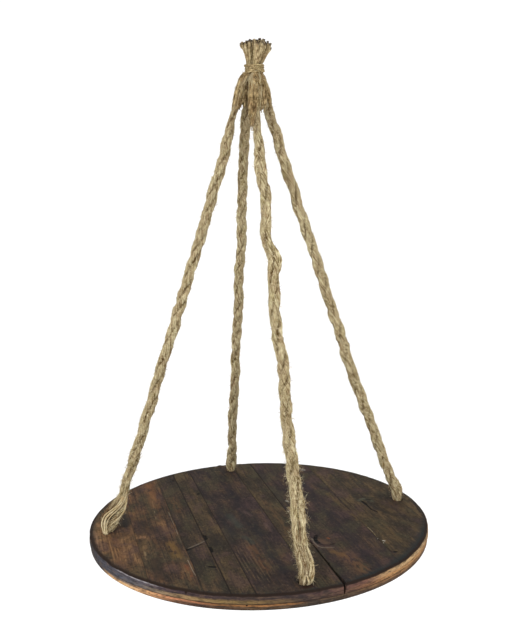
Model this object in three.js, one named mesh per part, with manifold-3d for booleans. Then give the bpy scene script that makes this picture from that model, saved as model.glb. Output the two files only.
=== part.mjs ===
// A round shelf board hung in two jute ropes, in millimetres, with +Z up and +Y away from the viewer.
// The origin is the middle of the bound throat, where the ropes are gathered and held up.
import * as THREE from 'three';
import { mergeVertices } from 'three/addons/utils/BufferGeometryUtils.js';
import Module from 'manifold-3d';

const degree = Math.PI / 180;
const quarterTurn = 90 * degree;

// Board: a round head of edge-joined planks, hung a little out of level as the ropes were tied
const boardDiameter = 530;
const boardThickness = 22;
const boardDrop = 690;
const boardLean = -0.88 * degree;
const grainTurn = 14.4 * degree;

// Rim of the board, from its top face down: a bevel, an upper band, a small step and a lower band
const topBevelWidth = 4;
const topBevelDepth = 3;
const upperBandHeight = 9.3;
const stepWidth = 1.2;
const stepDepth = 0.8;
const bottomBevel = 1.5;

// Seams between planks, across the grain, as shares of the board's radius
const seamShares = [-0.747, -0.498, -0.374, -0.257, 0.053, 0.185, 0.555];
const seamGap = 0.3;

// One seam has opened towards the front rim: its place in that list, its mouth, and where it starts
const openSeamIndex = 5;
const openSeamMouth = 2.6;
const openSeamStartShare = 0.44;

// Dowels that join neighbouring planks inside the board
const dowelDiameter = 8;
const dowelLength = 26;
const dowelClearance = 0.3;
const dowelShares = { back: 0.5, front: -0.5 };

// Rope: its free size, its squeezed size in the throat, and how loosely it turns under the board
const ropeDiameter = 16;
const throatRopeDiameter = 10.4;
const bendSlack = 0.6;
const touchGap = 0.3;
const holeClearance = 0.5;
const holeInset = 26;

// Twine wound round the throat
const twineDiameter = 3.2;
const twineTurns = 3;
const twineTurnGap = 0.5;

// Room for the shelf to swing in the throat, each way about both axes
const swingRange = 12 * degree;
const swingMargin = 1.5 * degree;
const swingGap = 4.4;
const seatAllowance = 0.2;
const seatRelief = 0.4;

// Every leg of rope below the throat, as points of [drop, reach from the middle, radius, drift along X].
// The first points stand upright in the throat, and the reach there comes from the squeezed size.
const neckRun = [
  [14, 11.5, 7.6, -2.5],
  [22, 15.0, 8.0, -3.6],
  [34, 19.3, 8.0, -3.6],
];

// Every rope end above the throat, as points of [rise, reach, radius]
const crownRun = [
  [13, 8.4, 5.7],
  [20, 10.3, 7.0],
  [28, 12.7, 8.6],
];
const crownTop = { reach: 14.3, radius: 9.5 };

// Each leg of rope: its quarter of the throat, its hole, the rise of its cut end, and its route.
// A route point is the share of the straight line from throat to hole, and its drift along X.
const legs = {
  left: {
    quarter: 2, holeTurn: 174.2 * degree, insetShare: 1.1, endRise: 38,
    route: [[0.09, -8.4], [0.131, -7.8], [0.19, -3.5], [0.244, -3.5], [0.307, -1.8], [0.37, 0],
      [0.435, 0.4], [0.5, 1.8], [0.565, 2.8], [0.63, 2.5], [0.695, 4.6], [0.762, 5.2],
      [0.829, 5.8], [0.887, 5.4], [0.93, 4.6]],
  },
  back: {
    quarter: 1, holeTurn: 88 * degree, insetShare: 1.3, endRise: 41,
    route: [[0.085, -8.3], [0.126, -8.9], [0.18, -9], [0.246, -8], [0.314, -7], [0.384, -4.4],
      [0.458, -6.2], [0.533, -3.4], [0.611, -4.3], [0.692, -2.9], [0.776, -2.4], [0.864, -2.4],
      [0.935, 0]],
  },
  right: {
    quarter: 0, holeTurn: 0.3 * degree, insetShare: 1, endRise: 38,
    route: [[0.086, -0.4], [0.129, 0.7], [0.181, -2], [0.246, -2], [0.311, -3.4], [0.379, -2.6],
      [0.447, -3.1], [0.516, -4.3], [0.587, -4], [0.658, -5.5], [0.733, -4.5], [0.808, -2.5],
      [0.884, -1.6], [0.935, 0]],
  },
  front: {
    quarter: 3, holeTurn: 270.2 * degree, insetShare: 1, endRise: 38,
    route: [[0.094, -4.4], [0.129, -4.8], [0.182, -4.4], [0.228, -4.8], [0.274, -1.6],
      [0.304, -4.2], [0.334, -6.6], [0.365, -4.4], [0.395, -0.2], [0.425, -1], [0.483, -4.4],
      [0.542, -3.8], [0.6, 0.2], [0.657, -1.5], [0.713, -2.2], [0.769, -0.9], [0.852, 0.2],
      [0.915, 0.2], [0.945, 1.4]],
  },
};

// Heights above the board where each leg turns upright to enter its hole, in rope diameters
const entryShares = [1.1, 0.55, 0.15];

// Each rope runs down one leg, under the board and up the leg across from it. The rope in layer 0
// lies on the board's underside, and the one in layer 1 passes below it where they cross.
const ropes = {
  front_back: { from: 'front', to: 'back', layer: 0 },
  left_right: { from: 'left', to: 'right', layer: 1 },
};
const bendSteps = 4;

// How finely round shapes are divided
const rimSegments = 120;
const holeSegments = 24;
const dowelSegments = 12;
const ropeSideCount = 10;
const twineSideCount = 6;
const twineStepsPerTurn = 24;

// One overrun for every cut
const overrun = 5;

// Sizes worked out from those above
const boardRadius = boardDiameter / 2;
const ropeRadius = ropeDiameter / 2;
const throatRopeRadius = throatRopeDiameter / 2;
const throatReach = (throatRopeRadius + touchGap / 2) * Math.SQRT2;
const seatRadius = throatReach + throatRopeRadius + seatAllowance;
const twineRadius = twineDiameter / 2;
const windingRadius = seatRadius + touchGap + twineRadius;
const windingPitch = twineDiameter + twineTurnGap;
const windingHalfHeight = windingPitch * twineTurns / 2 + twineRadius;
const holeRadius = ropeRadius + holeClearance;
const bendRadius = ropeRadius + bendSlack;
const layerPitch = ropeDiameter + touchGap;

const wasm = await Module();
wasm.setup();

// Turns a closed geometry into a solid that can be cut.
function toSolid(geometry) {
  const bare = geometry.clone();
  bare.deleteAttribute('normal');
  bare.deleteAttribute('uv');
  const merged = mergeVertices(bare);
  return new wasm.Manifold(new wasm.Mesh({
    numProp: 3,
    vertProperties: new Float32Array(merged.attributes.position.array),
    triVerts: new Uint32Array(merged.index.array),
  }));
}

// Turns a cut solid back into a geometry.
function toGeometry(solid) {
  const mesh = solid.getMesh();
  const geometry = new THREE.BufferGeometry();
  geometry.setAttribute('position', new THREE.BufferAttribute(new Float32Array(mesh.vertProperties), 3));
  geometry.setIndex(new THREE.BufferAttribute(new Uint32Array(mesh.triVerts), 1));
  geometry.computeVertexNormals();
  return geometry;
}

// Names a geometry and gives it its own finish.
function piece(name, geometry, color, roughness) {
  const material = new THREE.MeshStandardMaterial({ color, roughness, metalness: 0 });
  const mesh = new THREE.Mesh(geometry, material);
  mesh.name = name;
  return mesh;
}

// Sweeps a round section along points, with a radius of its own at each, and closes both ends.
function taperedTube(points, radii, sides) {
  const tangents = points.map((point, i) => {
    const before = points[Math.max(i - 1, 0)];
    const after = points[Math.min(i + 1, points.length - 1)];
    return after.clone().sub(before).normalize();
  });
  const firstSide = Math.abs(tangents[0].x) < 0.9 ? new THREE.Vector3(1, 0, 0) : new THREE.Vector3(0, 1, 0);
  let normal = firstSide.cross(tangents[0]).normalize();
  const vertices = [];
  points.forEach((point, i) => {
    const along = tangents[i];
    normal = normal.clone().addScaledVector(along, -normal.dot(along)).normalize();
    const side = along.clone().cross(normal);
    for (let k = 0; k < sides; k += 1) {
      const turn = 2 * Math.PI * k / sides;
      const corner = point.clone()
        .addScaledVector(normal, radii[i] * Math.cos(turn))
        .addScaledVector(side, radii[i] * Math.sin(turn));
      vertices.push(corner.x, corner.y, corner.z);
    }
  });
  return closedSweep(vertices, points, sides);
}

// Joins rings of corners into a closed skin, with a fan over each end.
function closedSweep(vertices, points, sides) {
  const index = [];
  for (let i = 0; i < points.length - 1; i += 1) {
    for (let k = 0; k < sides; k += 1) {
      const a = i * sides + k;
      const b = i * sides + (k + 1) % sides;
      index.push(a, b, b + sides, a, b + sides, a + sides);
    }
  }
  const first = vertices.length / 3;
  const last = first + 1;
  vertices.push(...points[0].toArray(), ...points[points.length - 1].toArray());
  const lastRing = (points.length - 1) * sides;
  for (let k = 0; k < sides; k += 1) {
    const next = (k + 1) % sides;
    index.push(first, next, k, last, lastRing + k, lastRing + next);
  }
  const geometry = new THREE.BufferGeometry();
  geometry.setAttribute('position', new THREE.Float32BufferAttribute(vertices, 3));
  geometry.setIndex(index);
  geometry.computeVertexNormals();
  return geometry;
}

// The least distance between stretches of a wound cord that lie apart along it, less its diameter.
function leastSelfGap(curve, diameter) {
  const length = curve.getLength();
  const count = Math.ceil(8 * length / diameter);
  const samples = curve.getSpacedPoints(count);
  const apart = Math.ceil(2 * diameter * count / length);
  let least = Infinity;
  for (let i = 0; i <= count; i += 1) {
    for (let j = i + apart; j <= count; j += 1) {
      least = Math.min(least, samples[i].distanceTo(samples[j]) - diameter);
    }
  }
  return least;
}

// A revolved solid about Z, from a profile of [radius, height] points.
function revolved(profile, segments) {
  const points = profile.map(([radius, height]) => new THREE.Vector2(radius, height));
  return new THREE.LatheGeometry(points, segments).rotateX(quarterTurn);
}

// The whole round board, with its top face at zero height.
function boardBlank() {
  const bandTop = -topBevelDepth;
  const bandBottom = bandTop - upperBandHeight;
  const lowerRadius = boardRadius - stepWidth;
  return toSolid(revolved([
    [0, -boardThickness],
    [lowerRadius - bottomBevel, -boardThickness],
    [lowerRadius, bottomBevel - boardThickness],
    [lowerRadius, bandBottom - stepDepth],
    [boardRadius, bandBottom],
    [boardRadius, bandTop],
    [boardRadius - topBevelWidth, 0],
    [0, 0],
  ], rimSegments));
}

// Where a leg's hole is in the board, across and along the grain.
function holePlace(leg) {
  const reach = boardRadius - holeInset * leg.insetShare;
  return new THREE.Vector2(reach * Math.cos(leg.holeTurn), reach * Math.sin(leg.holeTurn));
}

// Cutter for one rope hole, straight down through the board.
function holeCutter(leg) {
  const depth = boardThickness + 2 * overrun;
  const drill = new THREE.CylinderGeometry(holeRadius, holeRadius, depth, holeSegments);
  const place = holePlace(leg);
  return toSolid(drill.rotateX(quarterTurn).translate(place.x, place.y, -boardThickness / 2));
}

// Seam places across the grain, from left to right.
const seams = seamShares.map((share) => share * boardRadius);

// A cylinder across one seam: a dowel, or with an allowance the bore for it.
function dowelShape(seam, along, allowance) {
  const radius = dowelDiameter / 2 + allowance;
  const length = dowelLength + 2 * allowance;
  return new THREE.CylinderGeometry(radius, radius, length, dowelSegments)
    .rotateZ(quarterTurn)
    .translate(seam, along, -boardThickness / 2);
}

// Cutter for the crack where one seam has dried open towards the front rim.
function crackCutter() {
  const seam = seams[openSeamIndex];
  const outline = new THREE.Shape([
    new THREE.Vector2(seam, -openSeamStartShare * boardRadius),
    new THREE.Vector2(seam, -boardRadius - overrun),
    new THREE.Vector2(seam + openSeamMouth, -boardRadius - overrun),
  ]);
  const depth = boardThickness + 2 * overrun;
  const wedge = new THREE.ExtrudeGeometry(outline, { depth, bevelEnabled: false });
  return toSolid(wedge.translate(0, 0, -boardThickness - overrun));
}

// The strip of space that one plank fills, between its two seams.
function plankStrip(left, right) {
  const strip = new THREE.BoxGeometry(right - left, boardDiameter + 2 * overrun, boardThickness + 2 * overrun);
  return toSolid(strip.translate((left + right) / 2, 0, -boardThickness / 2));
}

// Every plank, cut from the round board and bored for its ropes and dowels.
function planks() {
  const blank = boardBlank();
  const cutters = Object.values(legs).map(holeCutter);
  seams.forEach((seam) => {
    Object.values(dowelShares).forEach((share) => {
      cutters.push(toSolid(dowelShape(seam, share * boardRadius, dowelClearance)));
    });
  });
  cutters.push(crackCutter());
  const edges = [-boardRadius - overrun, ...seams, boardRadius + overrun];
  return edges.slice(1).map((right, i) => {
    const strip = plankStrip(edges[i] + seamGap / 2, right - seamGap / 2);
    const plank = cutters.reduce((solid, cutter) => solid.subtract(cutter), blank.intersect(strip));
    return piece(`plank_${i + 1}`, toGeometry(plank), plankColors[i], 0.75);
  });
}

const plankColors = [0x5f4936, 0x634a34, 0x4a3d33, 0x4d4034, 0x43393a, 0x52443a, 0x463c38, 0x54463a];
const ropeColor = 0xbfa878;
const twineColor = 0xb59c6a;
const dowelColor = 0xb08a5c;

// The dowels, two across each seam.
function dowels() {
  return seams.flatMap((seam, i) => Object.entries(dowelShares).map(([side, share]) => {
    const shape = dowelShape(seam, share * boardRadius, 0);
    return piece(`dowel_${i + 1}_${side}`, shape, dowelColor, 0.7);
  }));
}

// The board's frame: its origin on the top face, X across the grain and Y along it.
const leanGroup = new THREE.Group();
leanGroup.position.z = -boardDrop;
leanGroup.rotation.y = boardLean;
const boardGroup = new THREE.Group();
boardGroup.rotation.z = grainTurn;
leanGroup.add(boardGroup);
leanGroup.updateMatrixWorld(true);

// A point of the board's frame, in the part's frame.
function fromBoard(x, y, height) {
  return boardGroup.localToWorld(new THREE.Vector3(x, y, height));
}

// A point at a reach from the middle of the throat, on the side of one leg.
function besideAxis(leg, reach, height) {
  const turn = grainTurn + leg.quarter * quarterTurn;
  return new THREE.Vector3(reach * Math.cos(turn), reach * Math.sin(turn), height);
}

// The space that the winding sweeps as the shelf swings, which the ropes keep out of.
function swingRelief() {
  const edgeTurn = Math.atan2(seatRadius + touchGap, windingHalfHeight);
  const clearTurn = edgeTurn - swingRange - swingMargin;
  const outerRadius = Math.hypot(windingRadius + twineRadius, windingHalfHeight) + seatRelief;
  const steps = 10;
  const turnAt = (i) => clearTurn + (Math.PI - 2 * clearTurn) * i / steps;
  const arc = [...Array(steps + 1).keys()].map(turnAt);
  const onArc = (radius) => (turn) => [radius * Math.sin(turn), -radius * Math.cos(turn)];
  const profile = [...arc.map(onArc(outerRadius)), ...arc.reverse().map(onArc(seatRadius))];
  return toSolid(revolved([...profile, profile[0]], holeSegments * 2));
}

const relief = swingRelief();

// A run of rope: its points, with a radius at each.
class Run {
  constructor() {
    this.points = [];
    this.radii = [];
  }

  add(point, radius = ropeRadius) {
    this.points.push(point);
    this.radii.push(radius);
  }

  reversed() {
    const run = new Run();
    run.points = this.points.slice().reverse();
    run.radii = this.radii.slice().reverse();
    return run;
  }

  then(other) {
    other.points.forEach((point, i) => this.add(point, other.radii[i]));
    return this;
  }
}

// Where a leg starts in the throat, upright and squeezed, on the given side of the pivot.
function throatRun(leg, side) {
  const run = new Run();
  [swingGap / 2, windingHalfHeight / 2, windingHalfHeight].forEach((distance) => {
    run.add(besideAxis(leg, throatReach, side * distance), throatRopeRadius);
  });
  return run;
}

// One leg of rope, from the throat down to the mouth of its hole.
function legRun(leg) {
  const run = throatRun(leg, -1);
  neckRun.forEach(([drop, reach, radius, drift]) => {
    const point = besideAxis(leg, reach, -drop);
    point.x += drift;
    run.add(point, radius);
  });
  const place = holePlace(leg);
  const mouth = fromBoard(place.x, place.y, 0);
  leg.route.forEach(([share, drift]) => {
    const point = mouth.clone().multiplyScalar(share);
    point.x += drift;
    run.add(point);
  });
  [...entryShares, 0].forEach((share) => run.add(fromBoard(place.x, place.y, share * ropeDiameter)));
  return run;
}

// Where the two ropes cross under the board, across and along the grain.
function crossing() {
  const [a, b, c, d] = ['front', 'back', 'left', 'right'].map((name) => holePlace(legs[name]));
  const first = b.clone().sub(a);
  const second = d.clone().sub(c);
  const share = c.clone().sub(a).cross(second) / first.cross(second);
  return a.clone().addScaledVector(first, share);
}

// The bend from a leg's hole to its run under the board, which dips towards the crossing.
function bendRun(leg, target, drop) {
  const place = holePlace(leg);
  const inward = target.clone().sub(place);
  const dip = Math.atan2(drop, inward.length() - bendRadius - ropeRadius);
  inward.normalize();
  const centreHeight = bendSlack - boardThickness - touchGap;
  const run = new Run();
  for (let i = 0; i <= bendSteps; i += 1) {
    const turn = (quarterTurn - dip) * i / bendSteps;
    const spot = place.clone().addScaledVector(inward, bendRadius * (1 - Math.cos(turn)));
    run.add(fromBoard(spot.x, spot.y, centreHeight - bendRadius * Math.sin(turn)));
  }
  return run;
}

// The middle of a rope's run under the board, level for one diameter at the crossing.
function crossingRun(from, target, drop) {
  const toward = target.clone().sub(holePlace(from)).normalize();
  const height = -boardThickness - touchGap - ropeRadius - drop;
  const run = new Run();
  [-ropeRadius, ropeRadius].forEach((offset) => {
    const spot = target.clone().addScaledVector(toward, offset);
    run.add(fromBoard(spot.x, spot.y, height));
  });
  return run;
}

// One whole rope below the throat: down a leg, under the board, and up the leg across from it.
function hungRope({ from, to, layer }) {
  const target = crossing();
  const drop = layer * layerPitch;
  return legRun(legs[from])
    .then(bendRun(legs[from], target, drop))
    .then(crossingRun(legs[from], target, drop))
    .then(bendRun(legs[to], target, drop).reversed())
    .then(legRun(legs[to]).reversed());
}

// One rope end, from the throat up to its cut end in the crown.
function ropeEnd(leg) {
  const run = throatRun(leg, 1);
  crownRun.forEach(([rise, reach, radius]) => run.add(besideAxis(leg, reach, rise), radius));
  run.add(besideAxis(leg, crownTop.reach, leg.endRise), crownTop.radius);
  return run;
}

// A rope or rope end as a solid, with the swing's room cut out of it in the throat.
function ropeSolid({ points, radii }) {
  return toGeometry(toSolid(taperedTube(points, radii, ropeSideCount)).subtract(relief));
}

// The route of the twine round the throat, with straight ends one diameter long.
function windingCurve() {
  const steps = twineTurns * twineStepsPerTurn;
  const rise = windingPitch * twineTurns;
  const points = [];
  for (let i = 0; i <= steps; i += 1) {
    const turn = 2 * Math.PI * i / twineStepsPerTurn;
    const height = rise * (i / steps - 1 / 2);
    points.push(new THREE.Vector3(windingRadius * Math.cos(turn), windingRadius * Math.sin(turn), height));
  }
  return points;
}

// Adds a straight end, one diameter long, at both ends of a wound run of points.
function withStraightEnds(points, diameter) {
  const last = points.length - 1;
  const lead = points[0].clone().sub(points[1]).setLength(diameter).add(points[0]);
  const tail = points[last].clone().sub(points[last - 1]).setLength(diameter).add(points[last]);
  return [lead, ...points, tail];
}

// The twine bound round the throat.
function bindingTwine() {
  const points = withStraightEnds(windingCurve(), twineDiameter);
  const radii = points.map(() => twineRadius);
  const curve = new THREE.CatmullRomCurve3(points, false, 'centripetal');
  console.log('binding_twine, least gap to itself in mm:', leastSelfGap(curve, twineDiameter).toFixed(2));
  return piece('binding_twine', taperedTube(points, radii, twineSideCount), twineColor, 0.95);
}

const shelf = new THREE.Group();
shelf.add(leanGroup);
boardGroup.add(...planks(), ...dowels());
Object.entries(ropes).forEach(([name, rope]) => {
  shelf.add(piece(`rope_${name}`, ropeSolid(hungRope(rope)), ropeColor, 0.95));
});
Object.entries(legs).forEach(([name, leg]) => {
  shelf.add(piece(`rope_end_${name}`, ropeSolid(ropeEnd(leg)), ropeColor, 0.95));
});
shelf.add(bindingTwine());

export default shelf;
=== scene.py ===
"""A round board of old planks hung in two jute ropes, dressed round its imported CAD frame.

The ropes run from a bound throat down through the board, cross under it and come up again. Lengths
are in metres in the frame's own axes, except in tables, which are in millimetres like the part.
"""

import logging
import math
from dataclasses import dataclass, field
from enum import Enum
from typing import Callable, Sequence, Union

import bmesh
import bpy
import numpy as np
from mathutils import Matrix, Vector


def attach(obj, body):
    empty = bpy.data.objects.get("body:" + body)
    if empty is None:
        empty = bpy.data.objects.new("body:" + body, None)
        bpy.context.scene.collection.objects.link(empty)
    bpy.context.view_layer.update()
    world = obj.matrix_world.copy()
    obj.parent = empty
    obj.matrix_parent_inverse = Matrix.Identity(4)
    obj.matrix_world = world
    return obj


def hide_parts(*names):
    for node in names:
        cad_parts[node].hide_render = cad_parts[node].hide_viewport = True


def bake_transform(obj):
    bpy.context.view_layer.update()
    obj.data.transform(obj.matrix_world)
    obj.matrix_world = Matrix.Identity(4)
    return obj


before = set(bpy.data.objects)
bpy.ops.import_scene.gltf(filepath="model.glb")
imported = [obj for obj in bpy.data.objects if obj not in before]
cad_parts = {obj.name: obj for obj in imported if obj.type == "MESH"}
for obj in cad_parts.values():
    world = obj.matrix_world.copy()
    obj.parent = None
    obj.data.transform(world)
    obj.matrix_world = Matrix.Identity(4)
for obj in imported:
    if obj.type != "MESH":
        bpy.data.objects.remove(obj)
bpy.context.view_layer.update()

LOG = logging.getLogger("hanging_shelf")
MM = 0.001
DEGREE = math.pi / 180
FULL_TURN = 2 * math.pi
GOLDEN_ANGLE = 2.39996

Number = Union["Value", float]
Colour = tuple[int, int, int]
Socket = bpy.types.NodeSocket
Object = bpy.types.Object
Material = bpy.types.Material


def paint(colour: Colour) -> tuple[float, ...]:
    """Turns a colour as a screen shows it into the linear colour that shaders take.

    Args:
        colour: Red, green and blue, 0 to 255.

    Returns:
        Linear red, green, blue and a full alpha.
    """
    shares = [channel / 255 for channel in colour]
    return (*(s / 12.92 if s <= 0.04045 else ((s + 0.055) / 1.055) ** 2.4 for s in shares), 1.0)


def math_method(operation: str, swapped: bool = False) -> Callable[..., "Value"]:
    """Makes a method of Value that adds a Math node.

    Args:
        operation: Blender's name of the sum.
        swapped: Whether the other number comes first.

    Returns:
        The method.
    """

    def method(self: "Value", other: Number = 0.0) -> "Value":
        """Adds the node and gives its result."""
        return self.tree.math(operation, *((other, self) if swapped else (self, other)))

    return method


class Value:
    """A number on a socket of a node tree, which sums can be written with."""

    def __init__(self, tree: "Tree", socket: Socket) -> None:
        """Keeps the tree and the socket."""
        self.tree = tree
        self.socket = socket

    __add__ = __radd__ = math_method("ADD")
    __sub__, __rsub__ = math_method("SUBTRACT"), math_method("SUBTRACT", swapped=True)
    __mul__ = __rmul__ = math_method("MULTIPLY")
    __truediv__, __pow__, __gt__ = math_method("DIVIDE"), math_method("POWER"), math_method("GREATER_THAN")
    sine, cosine = math_method("SINE"), math_method("COSINE")
    whole, size = math_method("FLOOR"), math_method("ABSOLUTE")

    def clipped(self) -> "Value":
        """Holds the value between 0 and 1."""
        return self.tree.math("MINIMUM", self.tree.math("MAXIMUM", self, 0.0), 1.0)

    def rise(self, low: float, high: float) -> "Value":
        """Goes smoothly from 0 at low to 1 at high, or the other way where low is the greater."""
        share = ((self - low) / (high - low)).clipped()
        return share * share * (3.0 - 2.0 * share)


class Tree:
    """A node tree that nodes are added to by type, settings and socket values."""

    def __init__(self, nodes: bpy.types.NodeTree) -> None:
        """Keeps Blender's tree."""
        self.nodes = nodes

    def feed(self, socket: Socket, value: object) -> None:
        """Links a value to a socket, or sets the socket to a constant."""
        if isinstance(value, Value):
            value = value.socket
        if isinstance(value, Socket):
            self.nodes.links.new(value, socket)
        else:
            socket.default_value = value

    def node(self, kind: str, settings: dict | None = None, inputs: dict | None = None) -> bpy.types.Node:
        """Adds one node.

        Args:
            kind: Blender's name of the node type.
            settings: The node's own properties, and a colour ramp's stops under "stops".
            inputs: Values or links of its sockets, by name or number.

        Returns:
            The node.
        """
        made = self.nodes.nodes.new(kind)
        for name, value in (settings or {}).items():
            if name == "stops":
                self.set_stops(made, value)
            else:
                setattr(made, name, value)
        for name, value in (inputs or {}).items():
            self.feed(made.inputs[name], value)
        return made

    @staticmethod
    def set_stops(ramp: bpy.types.Node, stops: Sequence[tuple[float, Colour]]) -> None:
        """Gives a colour ramp its stops, each a place and a colour."""
        elements = ramp.color_ramp.elements
        while len(elements) < len(stops):
            elements.new(1.0)
        for element, (place, colour) in zip(elements, stops):
            element.position = place
            element.color = paint(colour)

    def math(self, operation: str, first: Number, second: Number = 0.0) -> Value:
        """Adds a Math node and gives its result."""
        made = self.node("ShaderNodeMath", {"operation": operation}, {0: first, 1: second})
        return Value(self, made.outputs[0])

    def vector_math(self, operation: str, *inputs: object) -> Socket:
        """Adds a Vector Math node and gives its vector."""
        made = self.node("ShaderNodeVectorMath", {"operation": operation}, dict(enumerate(inputs)))
        return made.outputs["Vector"]

    def scaled(self, vector: Socket, factor: Number) -> Socket:
        """Multiplies a vector by a number."""
        made = self.node("ShaderNodeVectorMath", {"operation": "SCALE"}, {"Vector": vector, "Scale": factor})
        return made.outputs["Vector"]

    def length(self, vector: Socket) -> Value:
        """Gives a vector's length."""
        made = self.node("ShaderNodeVectorMath", {"operation": "LENGTH"}, {0: vector})
        return Value(self, made.outputs["Value"])

    def joined(self, x: Number, y: Number, z: Number) -> Socket:
        """Makes a vector of three numbers."""
        return self.node("ShaderNodeCombineXYZ", None, {0: x, 1: y, 2: z}).outputs[0]

    def parts(self, vector: Socket) -> tuple[Value, Value, Value]:
        """Splits a vector into its three numbers."""
        made = self.node("ShaderNodeSeparateXYZ", None, {0: vector})
        return tuple(Value(self, output) for output in made.outputs)

    def noise(self, vector: Socket, scale: float, detail: float = 2.0, rough: float = 0.5) -> Value:
        """Adds a Noise texture and gives its grey value.

        Args:
            vector: Where the texture is read.
            scale: Cells per unit of the vector.
            detail: Octaves of finer noise.
            rough: How strong the finer octaves are.

        Returns:
            The noise, about 0.5 in the middle.
        """
        inputs = {"Vector": vector, "Scale": scale, "Detail": detail, "Roughness": rough}
        return Value(self, self.node("ShaderNodeTexNoise", None, inputs).outputs[0])


class Surface(Tree):
    """A material's node tree with one Principled surface."""

    def __init__(self, name: str) -> None:
        """Starts an empty material of that name."""
        self.material = bpy.data.materials.new(name)
        self.material.use_nodes = True
        super().__init__(self.material.node_tree)
        self.nodes.nodes.clear()
        self.skin = self.node("ShaderNodeBsdfPrincipled")
        output = self.node("ShaderNodeOutputMaterial")
        self.nodes.links.new(self.skin.outputs[0], output.inputs["Surface"])

    def attribute(self, name: str) -> Value:
        """Reads a number that the mesh holds."""
        return Value(self, self.node("ShaderNodeAttribute", {"attribute_name": name}).outputs["Fac"])

    def place(self) -> Socket:
        """Gives the place on the object, in metres."""
        return self.node("ShaderNodeTexCoord").outputs["Object"]

    def mix(self, share: Number, first: object, second: object) -> Socket:
        """Mixes two colours.

        Args:
            share: How much of the second colour, 0 to 1.
            first: A colour or a socket.
            second: A colour or a socket.

        Returns:
            The mixed colour.
        """
        first, second = (paint(colour) if isinstance(colour, tuple) else colour for colour in (first, second))
        settings = {"data_type": "RGBA", "blend_type": "MIX"}
        return self.node("ShaderNodeMix", settings, {0: share, 6: first, 7: second}).outputs[2]

    def coats(self, colour: object, *coats: tuple[Number, object]) -> object:
        """Lays coats over a colour in turn, each with its share and its own colour."""
        for share, coat in coats:
            colour = self.mix(share, colour, coat)
        return colour

    def ramp(self, value: Value, stops: Sequence[tuple[float, Colour]]) -> Socket:
        """Turns a value into a colour by stops along 0 to 1."""
        return self.node("ShaderNodeValToRGB", {"stops": stops}, {0: value}).outputs["Color"]

    def relief(self, height: Value, depth: float, strength: float = 1.0) -> None:
        """Bends the surface's normals by a height, whose full range is depth metres."""
        inputs = {"Height": height, "Distance": depth, "Strength": strength}
        bump = self.node("ShaderNodeBump", None, inputs)
        self.feed(self.skin.inputs["Normal"], bump.outputs["Normal"])

    def finish(self, colour: Socket, rough: Number, shine: float = 0.5) -> Material:
        """Sets the surface's colour, roughness and shine, and gives the material."""
        for name, value in (("Base Color", colour), ("Roughness", rough), ("Specular IOR Level", shine)):
            self.feed(self.skin.inputs[name], value)
        return self.material


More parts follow.
